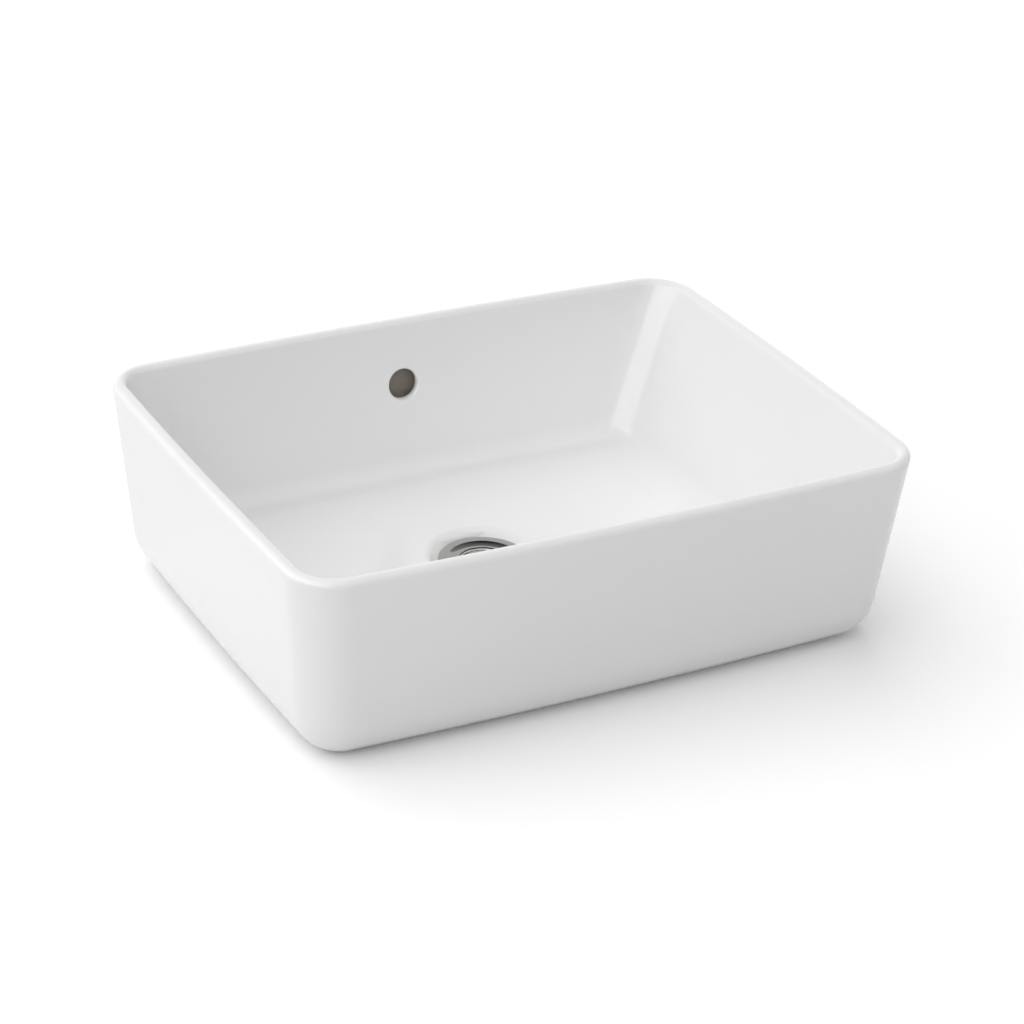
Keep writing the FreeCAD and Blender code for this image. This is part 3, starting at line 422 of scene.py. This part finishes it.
bmesh.ops.delete(skin, geom=[f for f in skin.faces if in_window(f)], context="FACES_ONLY")
loose = [e for e in skin.edges if not e.link_faces]
bmesh.ops.delete(skin, geom=loose, context="EDGES")
bmesh.ops.delete(skin, geom=[v for v in skin.verts if not v.link_faces], context="VERTS")
hem = sorted({v for e in skin.edges if e.is_boundary for v in e.verts},
             key=lambda v: math.atan2(v.co.z - HOLE_LEVEL * MM, v.co.x))


def wall_y(x, z):
    """The bowl's back wall at a point of the front view, in millimetres."""
    return bowl(z)[1] - BOW + math.sqrt(BOW**2 - x * x)


loop = hem
angles = [math.atan2(v.co.z - HOLE_LEVEL * MM, v.co.x) for v in hem]
even = [angles[0] + 2 * math.pi * i / len(hem) for i in range(len(hem))]
shift = sum(a - e for a, e in zip(angles, even)) / len(hem)
even = [e + shift for e in even]
# Radius, depth in the wall and roundness of each ring of faces, from the square window in to the hole.
rings = [(19.5, 0.0, 0.55), (17.0, 0.0, 0.85), (15.4, 0.0, 1.0)]
rings += [(HOLE_RADIUS + HOLE_LIP * (1 - math.sin(a)), HOLE_LIP * (1 - math.cos(a)), 1.0)
          for a in arc(0, 90, 7)]
rings += [(HOLE_RADIUS, 4.0, 1.0), (HOLE_RADIUS, HOLE_DEPTH, 1.0)]
for radius, depth, roundness in rings:
    fresh = []
    for own, turned in zip(angles, even):
        spread = own + (turned - own) * roundness
        x, z = radius * math.cos(spread), HOLE_LEVEL + radius * math.sin(spread)
        fresh.append(skin.verts.new((x * MM, (wall_y(x, z) + depth) * MM, z * MM)))
    for i in range(len(loop)):
        j = (i + 1) % len(loop)
        skin.faces.new((loop[i], fresh[i], fresh[j], loop[j]))
    loop = fresh
# The pocket's faces take the clay painted dark brown-grey: painted shade of the deep duct.
POCKET_HEAD, POCKET_FRONT_FOOT, POCKET_BACK_FOOT = 115.5, 90.0, 73.0
POCKET_HALF, POCKET_WALL = 20.0, 5.0
for low, behind in ((POCKET_FRONT_FOOT, False), (POCKET_BACK_FOOT, True)):
    fresh = []
    for turned in even:
        across, rise = math.cos(turned), math.sin(turned)
        stretch = 1 / max(abs(across), abs(rise))
        x = across * stretch * POCKET_HALF
        z = (POCKET_HEAD + low) / 2 + rise * stretch * (POCKET_HEAD - low) / 2
        y = skirt(z)[1] - POCKET_WALL if behind else bowl(z)[1] + HOLE_DEPTH
        fresh.append(skin.verts.new((x * MM, y * MM, z * MM)))
    for i in range(len(loop)):
        j = (i + 1) % len(loop)
        skin.faces.new((loop[i], fresh[i], fresh[j], loop[j])).material_index = 1
    loop = fresh
skin.faces.new(loop).material_index = 1
for face in skin.faces:
    if max(v.co.z for v in face.verts) < WIPED * MM:
        face.material_index = 2


def settled(shape, mesh):
    """The working faces turned outwards, written to a mesh and shaded smooth."""
    bmesh.ops.recalc_face_normals(shape, faces=shape.faces)
    shape.to_mesh(mesh)
    shape.free()
    for face in mesh.polygons:
        face.use_smooth = True


settled(skin, basin.data)
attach(basin, "basin")
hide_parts("basin_body")

# Under the bowl the duct shows as a cast rib that runs from the back wall down and forward to the boss.
# Its flank is drawn from the boss back along the foot, up between the walls and forward under the floor.
RIB_HALF, RIB_EDGE, RIB_START, RIB_FOOT, RIB_HEAD = 25.0, 2.5, 62.0, 2.0, 80.0
bury = CLAY / 2                                 # its back and its front end halfway into the walls
rib_line = [(RIB_START, RIB_FOOT), (skirt(0.0)[1] - 3, RIB_FOOT),
            (skirt(28)[1] - bury, 28), (skirt(RIB_HEAD)[1] - bury, RIB_HEAD),
            (bowl(RIB_HEAD)[1] + bury, RIB_HEAD), (bowl(56)[1] + bury, 56), (150, 24.5), (RIB_START, 21)]
cast = bmesh.new()
flank = cast.faces.new([cast.verts.new((-RIB_HALF * MM, y * MM, z * MM)) for y, z in rib_line])
pulled = bmesh.ops.extrude_face_region(cast, geom=[flank])["geom"]
pulled = [v for v in pulled if isinstance(v, bmesh.types.BMVert)]
bmesh.ops.translate(cast, vec=(2 * RIB_HALF * MM, 0, 0), verts=pulled)
long_edges = [e for e in cast.edges if abs(e.verts[0].co.x - e.verts[1].co.x) < 1e-6]
bmesh.ops.bevel(cast, geom=long_edges, offset=RIB_EDGE * MM, segments=4, profile=0.5, affect="EDGES")
rib = linked("overflow_rib", bpy.data.meshes.new("overflow_rib"))
settled(cast, rib.data)
rib.data.materials.append(glaze)
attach(rib, "basin")

# ---------------------------------------------------------------- waste body
# Brass turning with a polished chrome plate: a flat ring with a shallow dish inside it, the throat with the
# plug's seat, and the slotted tail. It is clamped through the basin by the backnut on its G 1 1/4 thread.

FLANGE, FLANGE_TOP, FLANGE_FOOT, FLANGE_EDGE = 35.0, 20.0, 18.0, 1.2
RING, RING_MIDDLE = 28.0, 31.5                          # inner edge and middle of the flat ring
RING_EDGE, RING_DROP, RING_ROUND = 0.3, 0.1, 1.8        # where it turns over into the dish
DISH, DISH_BEND = 1.5, 24.5                             # depth, and radius of its hollow curve
THROAT, THROAT_ROUND, BORE, NECK = 18.2, 2.4, 16.8, 20.215
PLUG_SEAT_HEAD, PLUG_SEAT_FOOT, PLUG_SEAT_EDGE = 15.0, 13.2, 0.2    # a cone between two small edges
TAIL_END, TAIL_BEVEL = -46.0, 0.8
THREAD_TOP, THREAD_SHOULDER, THREAD_ROOT, THREAD_CREST, THREAD_PITCH = -16.5, 0.7, 19.5, 20.95, 2.309
ROUND_STEPS = 160                                       # faces round a turning
SLOT_HEAD, SLOT_FOOT, SLOT_STEPS = CHAMBER_HEAD, CHAMBER_FOOT, 9    # half a slot is 9 of those faces


def lathe(name, profile, steps=ROUND_STEPS, centre=WASTE_Y):
    """A closed turning about the waste axis from (radius, level) pairs, with its poles as single points."""
    shape = bmesh.new()
    hoops = []
    for radius, level in profile:
        if radius < 1e-6:
            hoops.append([shape.verts.new((0, centre * MM, level * MM))])
            continue
        hoops.append([shape.verts.new((radius * math.cos(2 * math.pi * k / steps) * MM,
                                       (centre + radius * math.sin(2 * math.pi * k / steps)) * MM,
                                       level * MM)) for k in range(steps)])
    pairs = list(zip(hoops, hoops[1:] + hoops[:1]))
    for one, two in pairs:
        for k in range(steps):
            n = (k + 1) % steps
            if len(one) > 1 and len(two) > 1:
                shape.faces.new((one[k], one[n], two[n], two[k]))
            elif len(one) > 1:
                shape.faces.new((one[k], one[n], two[0]))
            elif len(two) > 1:
                shape.faces.new((one[0], two[n], two[k]))
    piece = linked(name, bpy.data.meshes.new(name))
    settled(shape, piece.data)
    return piece


# Chrome plate over polished brass: near-black to white reflections, with the faintest haze where it is wiped.
chrome = bpy.data.materials.new("polished_chrome_plate")
nodes = emptied(chrome)
where = add(nodes, "ShaderNodeTexCoord")
haze = add(nodes, "ShaderNodeTexNoise", {"Vector": where.outputs["Object"], "Scale": 60.0, "Detail": 3.0})
wiped = add(nodes, "ShaderNodeMapRange", {"Value": haze.outputs["Fac"], "From Min": 0.3, "From Max": 0.7,
                                          "To Min": 0.05, "To Max": 0.11})
surface = add(nodes, "ShaderNodeBsdfPrincipled", {
    "Base Color": linear("BAB9B6"), "Metallic": 1.0, "Roughness": wiped})
add(nodes, "ShaderNodeOutputMaterial", {"Surface": surface})

brow, lip = FLANGE_TOP - FLANGE_EDGE, (THROAT + THROAT_ROUND, FLANGE_TOP - DISH)
ring_top, ring_rim = (RING + RING_EDGE, FLANGE_TOP), (RING - RING_EDGE, FLANGE_TOP - RING_DROP)
turning = [(FLANGE, FLANGE_FOOT), (FLANGE, brow)]
turning += bend((FLANGE, brow), (FLANGE - FLANGE_EDGE, FLANGE_TOP), FLANGE_EDGE, True, 7)
turning += [(RING_MIDDLE, FLANGE_TOP), ring_top]
turning += bend(ring_top, ring_rim, RING_ROUND, True, 4)
turning += bend(ring_rim, lip, DISH_BEND, False, 14)
turning += bend(lip, (THROAT, FLANGE_TOP - DISH - THROAT_ROUND), THROAT_ROUND, True, 10)
turning += [(THROAT, PLUG_SEAT_HEAD), (THROAT - PLUG_SEAT_EDGE, PLUG_SEAT_HEAD - 2 * PLUG_SEAT_EDGE),
            (BORE + PLUG_SEAT_EDGE, PLUG_SEAT_FOOT + 2 * PLUG_SEAT_EDGE), (BORE, PLUG_SEAT_FOOT)]
turning += [(BORE, SLOT_HEAD), (BORE, SLOT_FOOT), (BORE, -20), (BORE, TAIL_END)]
turning += [(THREAD_ROOT - TAIL_BEVEL, TAIL_END), (THREAD_ROOT, TAIL_END + TAIL_BEVEL),
            (THREAD_ROOT, THREAD_TOP), (NECK, THREAD_TOP + THREAD_SHOULDER)]
turning += [(NECK, SLOT_FOOT), (NECK, SLOT_HEAD), (NECK, SEAT_LEVEL - COUNTERSINK),
            (WASTE_HOLE + COUNTERSINK, FLANGE_FOOT)]
waste = lathe("waste_body_chrome", turning)
waste.data.materials.append(chrome)

# four slots let the overflow water into the tail
tail = bmesh.new()
tail.from_mesh(waste.data)
for quarter_turn in range(4):
    edges = []
    for wall in (BORE, NECK):
        cell = []
        for face in tail.faces:
            middle = face.calc_center_median() - Vector((0, WASTE_Y, 0)) * MM
            heading = math.atan2(middle.y, middle.x) / (2 * math.pi) - quarter_turn / 4
            around = ((heading + 0.5) % 1 - 0.5) * ROUND_STEPS
            if (abs(around) < SLOT_STEPS and SLOT_FOOT * MM < middle.z < SLOT_HEAD * MM
                    and abs(math.hypot(middle.x, middle.y) - wall * MM) < 0.1 * MM):
                cell.append(face)
        rim_edges = {e for f in cell for e in f.edges if sum(g in cell for g in e.link_faces) == 1}
        bmesh.ops.delete(tail, geom=cell, context="FACES_ONLY")
        edges += list(rim_edges)
    bmesh.ops.bridge_loops(tail, edges=edges)
loose = [e for e in tail.edges if not e.link_faces]
bmesh.ops.delete(tail, geom=loose, context="EDGES")
settled(tail, waste.data)
waste.data.set_sharp_from_angle(angle=math.radians(40))
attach(waste, "basin")
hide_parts("waste_body")

# The free thread under the backnut: one ridge that winds down the tail and runs out at both ends. Five points
# go round its section: 0 and 3 are the ridge's feet, 1 and 2 its crest, and 4 closes it on 0.
ROW, MIDDLE_ROW = 5, 1.5
CREST_HALF, FOOT_HALF = 0.07, 0.46                      # half widths as shares of the pitch
THREAD_TURNS, THREAD_STEPS, THREAD_START, SUNK, RUN_OUT = 12, 72, -17.2, 0.05, 1.5
thread, given = opened("helical_thread", {
    "Pitch": "Float", "Turns": "Int", "Steps per turn": "Int", "Root radius": "Float",
    "Crest radius": "Float", "Start": "Vector", "Plate": "Material"})
steps = add(thread, MATH, {0: given["Turns"], 1: given["Steps per turn"]}, operation="MULTIPLY")
grid = add(thread, "GeometryNodeMeshGrid", {
    "Vertices X": add(thread, MATH, {0: steps, 1: 1.0}, operation="ADD"), "Vertices Y": ROW})
index = add(thread, "GeometryNodeInputIndex")
column = add(thread, MATH, {0: add(thread, MATH, {0: index, 1: ROW}, operation="DIVIDE")}, operation="FLOOR")
row = add(thread, MATH, {0: add(thread, MATH, {0: index, 1: ROW}, operation="MODULO"), 1: ROW - 1},
          operation="MODULO")
turns_done = add(thread, MATH, {0: column, 1: given["Steps per turn"]}, operation="DIVIDE")
turns_left = add(thread, MATH, {0: given["Turns"], 1: turns_done}, operation="SUBTRACT")
full = add(thread, MATH, {0: add(thread, MATH, {0: turns_done, 1: turns_left}, operation="MINIMUM"),
                          1: RUN_OUT}, operation="MULTIPLY", use_clamp=True)
crest = add(thread, MATH, {0: row, 1: MIDDLE_ROW, 2: 0.6}, operation="COMPARE")
above = add(thread, MATH, {0: add(thread, MATH, {0: row, 1: MIDDLE_ROW}, operation="GREATER_THAN"),
                           1: 2.0, 2: -1.0}, operation="MULTIPLY_ADD")
spread = add(thread, MATH, {0: crest, 1: CREST_HALF - FOOT_HALF, 2: FOOT_HALF}, operation="MULTIPLY_ADD")
offset = add(thread, MATH, {0: add(thread, MATH, {0: spread, 1: above}, operation="MULTIPLY"), 1: full},
             operation="MULTIPLY")
drop = add(thread, MATH, {0: add(thread, MATH, {0: offset, 1: turns_done}, operation="SUBTRACT"),
                          1: given["Pitch"]}, operation="MULTIPLY")
ridge = add(thread, MATH, {0: given["Crest radius"], 1: given["Root radius"]}, operation="SUBTRACT")
ridge = add(thread, MATH, {0: add(thread, MATH, {0: ridge, 1: crest}, operation="MULTIPLY"), 1: full,
                           2: given["Root radius"]}, operation="MULTIPLY_ADD")
turn = add(thread, MATH, {0: turns_done, 1: -2 * math.pi}, operation="MULTIPLY")
cosine = add(thread, MATH, {0: turn}, operation="COSINE")
sine = add(thread, MATH, {0: turn}, operation="SINE")
point = add(thread, "ShaderNodeCombineXYZ", {
    0: add(thread, MATH, {0: cosine, 1: ridge}, operation="MULTIPLY"),
    1: add(thread, MATH, {0: sine, 1: ridge}, operation="MULTIPLY"), 2: drop})
point = add(thread, VECTOR, {0: point, 1: given["Start"]}, operation="ADD")
wound = add(thread, "GeometryNodeSetPosition", {"Geometry": grid, "Position": point})
closed = add(thread, "GeometryNodeMergeByDistance", {"Geometry": wound, "Distance": 2e-6})
ended(thread, closed, given["Plate"])
ridge = grown("tail_thread", bpy.data.meshes.new("tail_thread"), thread, {
    "Pitch": THREAD_PITCH * MM, "Turns": THREAD_TURNS, "Steps per turn": THREAD_STEPS,
    "Root radius": (THREAD_ROOT - SUNK) * MM, "Crest radius": THREAD_CREST * MM,
    "Start": (0.0, WASTE_Y * MM, THREAD_START * MM), "Plate": chrome})
wound = bmesh.new()
wound.from_mesh(ridge.data)
bmesh.ops.recalc_face_normals(wound, faces=wound.faces)
wound.to_mesh(ridge.data)
wound.free()
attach(ridge, "basin")

# The bridge that carries the click cartridge is cast in the tail: a hub on three arms.
HUB, HUB_BORE, HUB_TOP, HUB_FOOT = 10.5, 6.1, -8.1, -13.9
ARM_LENGTH, ARM_WIDTH, ARM_MIDDLE = 8.2, 4.0, 13.4      # the middle is measured from the axis
spider, given = opened("hub_on_arms", {
    "Arms": "Int", "Arm size": "Vector", "Arm middle": "Float", "Hub centre": "Vector", "Plate": "Material"})
arm = add(spider, "GeometryNodeMeshCube", {"Size": given["Arm size"]})
arm = add(spider, "GeometryNodeTransform", {
    "Geometry": arm, "Translation": add(spider, "ShaderNodeCombineXYZ", {0: given["Arm middle"]})})
centres = add(spider, "GeometryNodePoints", {"Count": given["Arms"], "Position": given["Hub centre"]})
share = add(spider, MATH, {0: add(spider, "GeometryNodeInputIndex"), 1: given["Arms"]}, operation="DIVIDE")
heading = add(spider, "FunctionNodeAxisAngleToRotation", {
    "Axis": (0, 0, 1), "Angle": add(spider, MATH, {0: share, 1: 2 * math.pi}, operation="MULTIPLY")})
arms = add(spider, "GeometryNodeInstanceOnPoints", {"Points": centres, "Instance": arm, "Rotation": heading})
both = add(spider, "GeometryNodeJoinGeometry", {"Geometry": arms})
spider.links.new(given["Geometry"], both.inputs["Geometry"])
ended(spider, both, given["Plate"])
hub = lathe("bridge_hub", [(HUB_BORE, HUB_FOOT), (HUB_BORE, HUB_TOP), (HUB, HUB_TOP), (HUB, HUB_FOOT)], 96)
bridge = grown("tail_bridge", hub.data, spider, {
    "Arms": 3, "Arm size": (ARM_LENGTH * MM, ARM_WIDTH * MM, (HUB_TOP - HUB_FOOT) * MM),
    "Arm middle": ARM_MIDDLE * MM, "Hub centre": (0.0, WASTE_Y * MM, (HUB_TOP + HUB_FOOT) / 2 * MM),
    "Plate": chrome})
bpy.data.objects.remove(hub)
bridge.data.set_sharp_from_angle(angle=math.radians(40))
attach(bridge, "basin")

# ---------------------------------------------------------------- plug
# A domed cap of the same chromed brass over a rubber seal. Pressing it works the click cartridge below.

CAP_FOOT, CAP_EDGE, CAP_DOME, CAP_RADIUS, CAP_ROUND = 15.9, 1.8, 1.3, 17.3, 0.8
CAP_BOSS, CAP_BOSS_FOOT, STEM_HOLE, STEM_HOLE_HEAD = 6.0, 12.6, 2.6, 16.9

cap_edge = CAP_FOOT + CAP_EDGE
dome_radius = ((CAP_RADIUS - CAP_ROUND) ** 2 + CAP_DOME**2) / (2 * CAP_DOME)
crown = [(CAP_RADIUS, CAP_FOOT), (CAP_RADIUS, cap_edge - CAP_ROUND)]
crown += bend((CAP_RADIUS, cap_edge - CAP_ROUND), (CAP_RADIUS - CAP_ROUND, cap_edge), CAP_ROUND, True, 6)
crown += bend((CAP_RADIUS - CAP_ROUND, cap_edge), (0, cap_edge + CAP_DOME), dome_radius, True, 14)
crown[-1] = (0, cap_edge + CAP_DOME)
crown += [(0, STEM_HOLE_HEAD), (STEM_HOLE, STEM_HOLE_HEAD), (STEM_HOLE, CAP_BOSS_FOOT),
          (CAP_BOSS, CAP_BOSS_FOOT), (CAP_BOSS, CAP_FOOT)]
cap = lathe("plug_cap_chrome", crown)
cap.data.set_sharp_from_angle(angle=math.radians(50))
cap.data.materials.append(chrome)
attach(cap, "plug")
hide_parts("plug_cap")

# ---------------------------------------------------------------- seals and gaskets
# Moulded EPDM rubber: the flange gasket, the tapered gasket under the basin, the plug's seal on its boss and
# the O-ring round the stem. Each is held only by the pieces that squeeze it.

# Moulded rubber: near-black, with a dull sheen and a fine bloom of about a third of a millimetre.
rubber = bpy.data.materials.new("moulded_epdm_rubber")
nodes = emptied(rubber)
where = add(nodes, "ShaderNodeTexCoord")
bloom = add(nodes, "ShaderNodeTexNoise", {"Vector": where.outputs["Object"], "Scale": 3000.0, "Detail": 2.0})
dull = add(nodes, "ShaderNodeMix", {
    "Factor": bloom.outputs["Fac"], 6: linear("202022"), 7: linear("303033")}, data_type="RGBA")
surface = add(nodes, "ShaderNodeBsdfPrincipled", {
    "Base Color": dull.outputs[2], "Roughness": 0.55, "IOR": 1.52})
add(nodes, "ShaderNodeOutputMaterial", {"Surface": surface})


def finished(names, finish):
    """Gives these nodes their finish and leaves their shape as it is."""
    for name in names:
        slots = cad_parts[name].data.materials
        slots.clear()
        slots.append(finish)


finished(("flange_gasket", "lower_gasket", "plug_seal", "stem_o_ring"), rubber)

# ---------------------------------------------------------------- washer and retainer
# The friction washer lets the backnut turn without dragging the gasket; the retainer clips the seal under the
# plug's cap. Both are moulded in natural polypropylene.

# Natural polypropylene: milky white and waxy, faintly clouded over some 8 mm.
polypropylene = bpy.data.materials.new("natural_polypropylene")
nodes = emptied(polypropylene)
where = add(nodes, "ShaderNodeTexCoord")
cloud = add(nodes, "ShaderNodeTexNoise", {"Vector": where.outputs["Object"], "Scale": 120.0, "Detail": 2.0})
milky = add(nodes, "ShaderNodeMix", {
    "Factor": cloud.outputs["Fac"], 6: linear("DAD9D2"), 7: linear("E4E3DD")}, data_type="RGBA")
surface = add(nodes, "ShaderNodeBsdfPrincipled", {
    "Base Color": milky.outputs[2], "Roughness": 0.38, "IOR": 1.49})
add(nodes, "ShaderNodeOutputMaterial", {"Surface": surface})
finished(("friction_washer", "seal_retainer"), polypropylene)

# ---------------------------------------------------------------- nuts and stem
# The backnut and the cartridge nut are cut from hexagon bar, and the plug's stem is turned with its crown in
# one piece. All are plain brass, screwed or riveted in place out of sight.

# Machined brass, a little dulled: warm yellow with turning marks. Real ones lie closer, but these are drawn
# about 0.8 mm apart, so that they show.
brass = bpy.data.materials.new("machined_brass")
nodes = emptied(brass)
where = add(nodes, "ShaderNodeTexCoord")
marks = add(nodes, "ShaderNodeTexWave", {
    "Vector": where.outputs["Object"], "Scale": 400.0, "Distortion": 1.5, "Detail": 2.0}, bands_direction="Z")
tarnish = add(nodes, "ShaderNodeTexNoise", {"Vector": where.outputs["Object"], "Scale": 70.0, "Detail": 3.0})
yellow = add(nodes, "ShaderNodeMix", {
    "Factor": tarnish.outputs["Fac"], 6: linear("C9A45C"), 7: linear("DDBD78")}, data_type="RGBA")
turned = add(nodes, "ShaderNodeMapRange", {"Value": marks.outputs["Fac"], "To Min": 0.24, "To Max": 0.36})
surface = add(nodes, "ShaderNodeBsdfPrincipled", {
    "Base Color": yellow.outputs[2], "Metallic": 1.0, "Roughness": turned})
add(nodes, "ShaderNodeOutputMaterial", {"Surface": surface})
finished(("backnut", "cartridge_nut", "plug_stem"), brass)

# ---------------------------------------------------------------- click cartridge
# Housing, lid and ratchet ring are moulded in acetal, and the spring is coiled from stainless wire. The ring
# turns by a tooth at each push and catches the stem's crown high or low.

# Acetal: opaque, slippery and slightly satin. The housing and lid are grey-white, the ring is dyed blue-grey
# so that the two can't be mixed up when the cartridge is put together.
housing_acetal = bpy.data.materials.new("moulded_acetal_natural")
ring_acetal = bpy.data.materials.new("moulded_acetal_blue")
for acetal, shades, names in ((housing_acetal, ("CFCFCA", "D6D6D2"), ("cartridge_housing", "cartridge_lid")),
                              (ring_acetal, ("4A5D78", "556A86"), ("index_ring",))):
    nodes = emptied(acetal)
    where = add(nodes, "ShaderNodeTexCoord")
    flow = add(nodes, "ShaderNodeTexNoise", {
        "Vector": where.outputs["Object"], "Scale": 250.0, "Detail": 2.0})
    body = add(nodes, "ShaderNodeMix", {
        "Factor": flow.outputs["Fac"], 6: linear(shades[0]), 7: linear(shades[1])}, data_type="RGBA")
    surface = add(nodes, "ShaderNodeBsdfPrincipled", {
        "Base Color": body.outputs[2], "Roughness": 0.33, "IOR": 1.48})
    add(nodes, "ShaderNodeOutputMaterial", {"Surface": surface})
    finished(names, acetal)

# Drawn stainless wire: pale grey metal, its sheen faintly broken by the marks of the die.
wire = bpy.data.materials.new("drawn_stainless_wire")
nodes = emptied(wire)
where = add(nodes, "ShaderNodeTexCoord")
streaks = add(nodes, "ShaderNodeTexNoise", {
    "Vector": where.outputs["Object"], "Scale": 1500.0, "Detail": 2.0})
drawn = add(nodes, "ShaderNodeMapRange", {"Value": streaks.outputs["Fac"], "To Min": 0.2, "To Max": 0.34})
surface = add(nodes, "ShaderNodeBsdfPrincipled", {
    "Base Color": linear("C6C6C4"), "Metallic": 1.0, "Roughness": drawn})
add(nodes, "ShaderNodeOutputMaterial", {"Surface": surface})
finished(("click_spring",), wire)

# ---------------------------------------------------------------- worktop and light
# The basin is shown on a plain white top with a hole for its waste, which keeps the basin's shadow. Two broad
# silks hang overhead and a softbox stands at the left. The surroundings are white.

WORKTOP_HOLE, WORKTOP_REACH, WORKTOP_STEPS = 55.0 * MM, 9.0, 64
top = bmesh.new()
turns = [2 * math.pi * k / WORKTOP_STEPS for k in range(WORKTOP_STEPS)]
inner, outer = [[top.verts.new((radius * math.cos(t), middle + radius * math.sin(t), 0)) for t in turns]
                for radius, middle in ((WORKTOP_HOLE, WASTE_Y * MM), (WORKTOP_REACH, 0.0))]
for k in range(WORKTOP_STEPS):
    n = (k + 1) % WORKTOP_STEPS
    top.faces.new((inner[k], outer[k], outer[n], inner[n]))
mesh = bpy.data.meshes.new("worktop")
top.to_mesh(mesh)
top.free()
worktop = linked("worktop", mesh)
board = bpy.data.materials.new("white_worktop")


def looked_at(tree):
    """One where a surface is seen, straight on or in a reflection, and nought where it only lights others."""
    rays = add(tree, "ShaderNodeLightPath").outputs
    seen = add(tree, MATH, {0: rays["Is Camera Ray"], 1: rays["Is Glossy Ray"]}, operation="MAXIMUM")
    return add(tree, MATH, {0: seen, 1: rays["Is Transmission Ray"]}, operation="MAXIMUM")


# Matt white lacquer. It looks white, but throws back a little less light, so that the skirt keeps its form.
nodes = emptied(board)
tone = add(nodes, "ShaderNodeMapRange", {"Value": looked_at(nodes), "To Min": 0.78, "To Max": 1.07})
paint = add(nodes, "ShaderNodeBsdfDiffuse", {"Color": tone})
add(nodes, "ShaderNodeOutputMaterial", {"Surface": paint})
mesh.materials.append(board)

world = bpy.data.worlds.new("studio")
bpy.context.scene.world = world
nodes = emptied(world)
lit = add(nodes, "ShaderNodeBackground", {"Color": (1, 1, 1, 1), "Strength": 0.294})
plain = add(nodes, "ShaderNodeBackground", {"Color": (1, 1, 1, 1), "Strength": 1.0})
mixed = add(nodes, "ShaderNodeMixShader", {0: looked_at(nodes), 1: lit, 2: plain})
add(nodes, "ShaderNodeOutputWorld", {"Surface": mixed})

# Two broad silks overhead, the stronger one behind, and a softbox at the left.
for name, place, strength in (("back_silk", (-0.5, 1.3, 2.0), 1.563),
                              ("front_silk", (-0.3, -1.4, 2.0), 0.873)):
    silk = bpy.data.lights.new(name, "SUN")
    silk.energy, silk.angle = strength, math.radians(75)
    lamp = linked(name, silk)
    lamp.location = place
    lamp.rotation_euler = lamp.location.to_track_quat("Z", "Y").to_euler()
    lamp.visible_glossy = False
panel = bpy.data.lights.new("left_softbox", "AREA")
panel.shape, panel.energy = "RECTANGLE", 9.6
panel.size, panel.size_y = 1.8, 1.4
lamp = linked("left_softbox", panel)
lamp.location = (-1.9, -0.1, 0.85)
lamp.rotation_euler = (lamp.location - Vector((0, 0, 0.1))).to_track_quat("Z", "Y").to_euler()

# Two cards that only show in reflections. The pale one curves round the left side and fades from its front
# edge to its back edge: it lays a bright line down an inner corner, soft on the wall beside it. The dark one
# hangs above and behind, well out of the picture, and gives the chrome something to draw its edges with.
pale_front, pale_back, pale_foot, pale_head = -1.5, 1.4, 0.36, 1.5
pale = [Vector((x, y, level))
        for x, y in ((-0.95, pale_front), (-1.75, -0.5), (-1.9, 0.5), (-1.3, pale_back))
        for level in (pale_foot, pale_head)]
dark_foot, dark_head, dark_end = (1.75, 1.05), (0.55, 2.35), (-0.35, 2.45)  # distance and level of its edges
away, across = Vector((0.489, 0.872, 0)), Vector((0.872, -0.489, 0))
dark = [away * reach + across * side + Vector((0, 0, level))
        for (reach, level), half in ((dark_foot, 2.2), (dark_head, 1.6), (dark_end, 1.2))
        for side in (-half, half)]
pale_fade = {"From Min": pale_front, "From Max": pale_back, "To Min": 3.0, "To Max": 2.0}
dark_fade = {"From Min": dark_foot[1], "From Max": 1.9, "To Min": 0.4, "To Max": 0.015}
for name, corners, axis, fade in (("pale_card", pale, "Y", pale_fade), ("dark_card", dark, "Z", dark_fade)):
    mesh = bpy.data.meshes.new(name)
    mesh.from_pydata(corners, [], [(k, k + 1, k + 3, k + 2) for k in range(0, len(corners) - 2, 2)])
    card = linked(name, mesh)
    sheet = bpy.data.materials.new("graded_" + name)
    nodes = emptied(sheet)
    where = add(nodes, "ShaderNodeTexCoord")
    split = add(nodes, "ShaderNodeSeparateXYZ", {0: where.outputs["Object"]})
    shade = add(nodes, "ShaderNodeMapRange", {"Value": split.outputs[axis], **fade})
    glow = add(nodes, "ShaderNodeEmission", {"Strength": shade})
    add(nodes, "ShaderNodeOutputMaterial", {"Surface": glow})
    mesh.materials.append(sheet)
    card.visible_camera = card.visible_diffuse = card.visible_shadow = False

bpy.context.scene.view_settings.view_transform = "Standard"
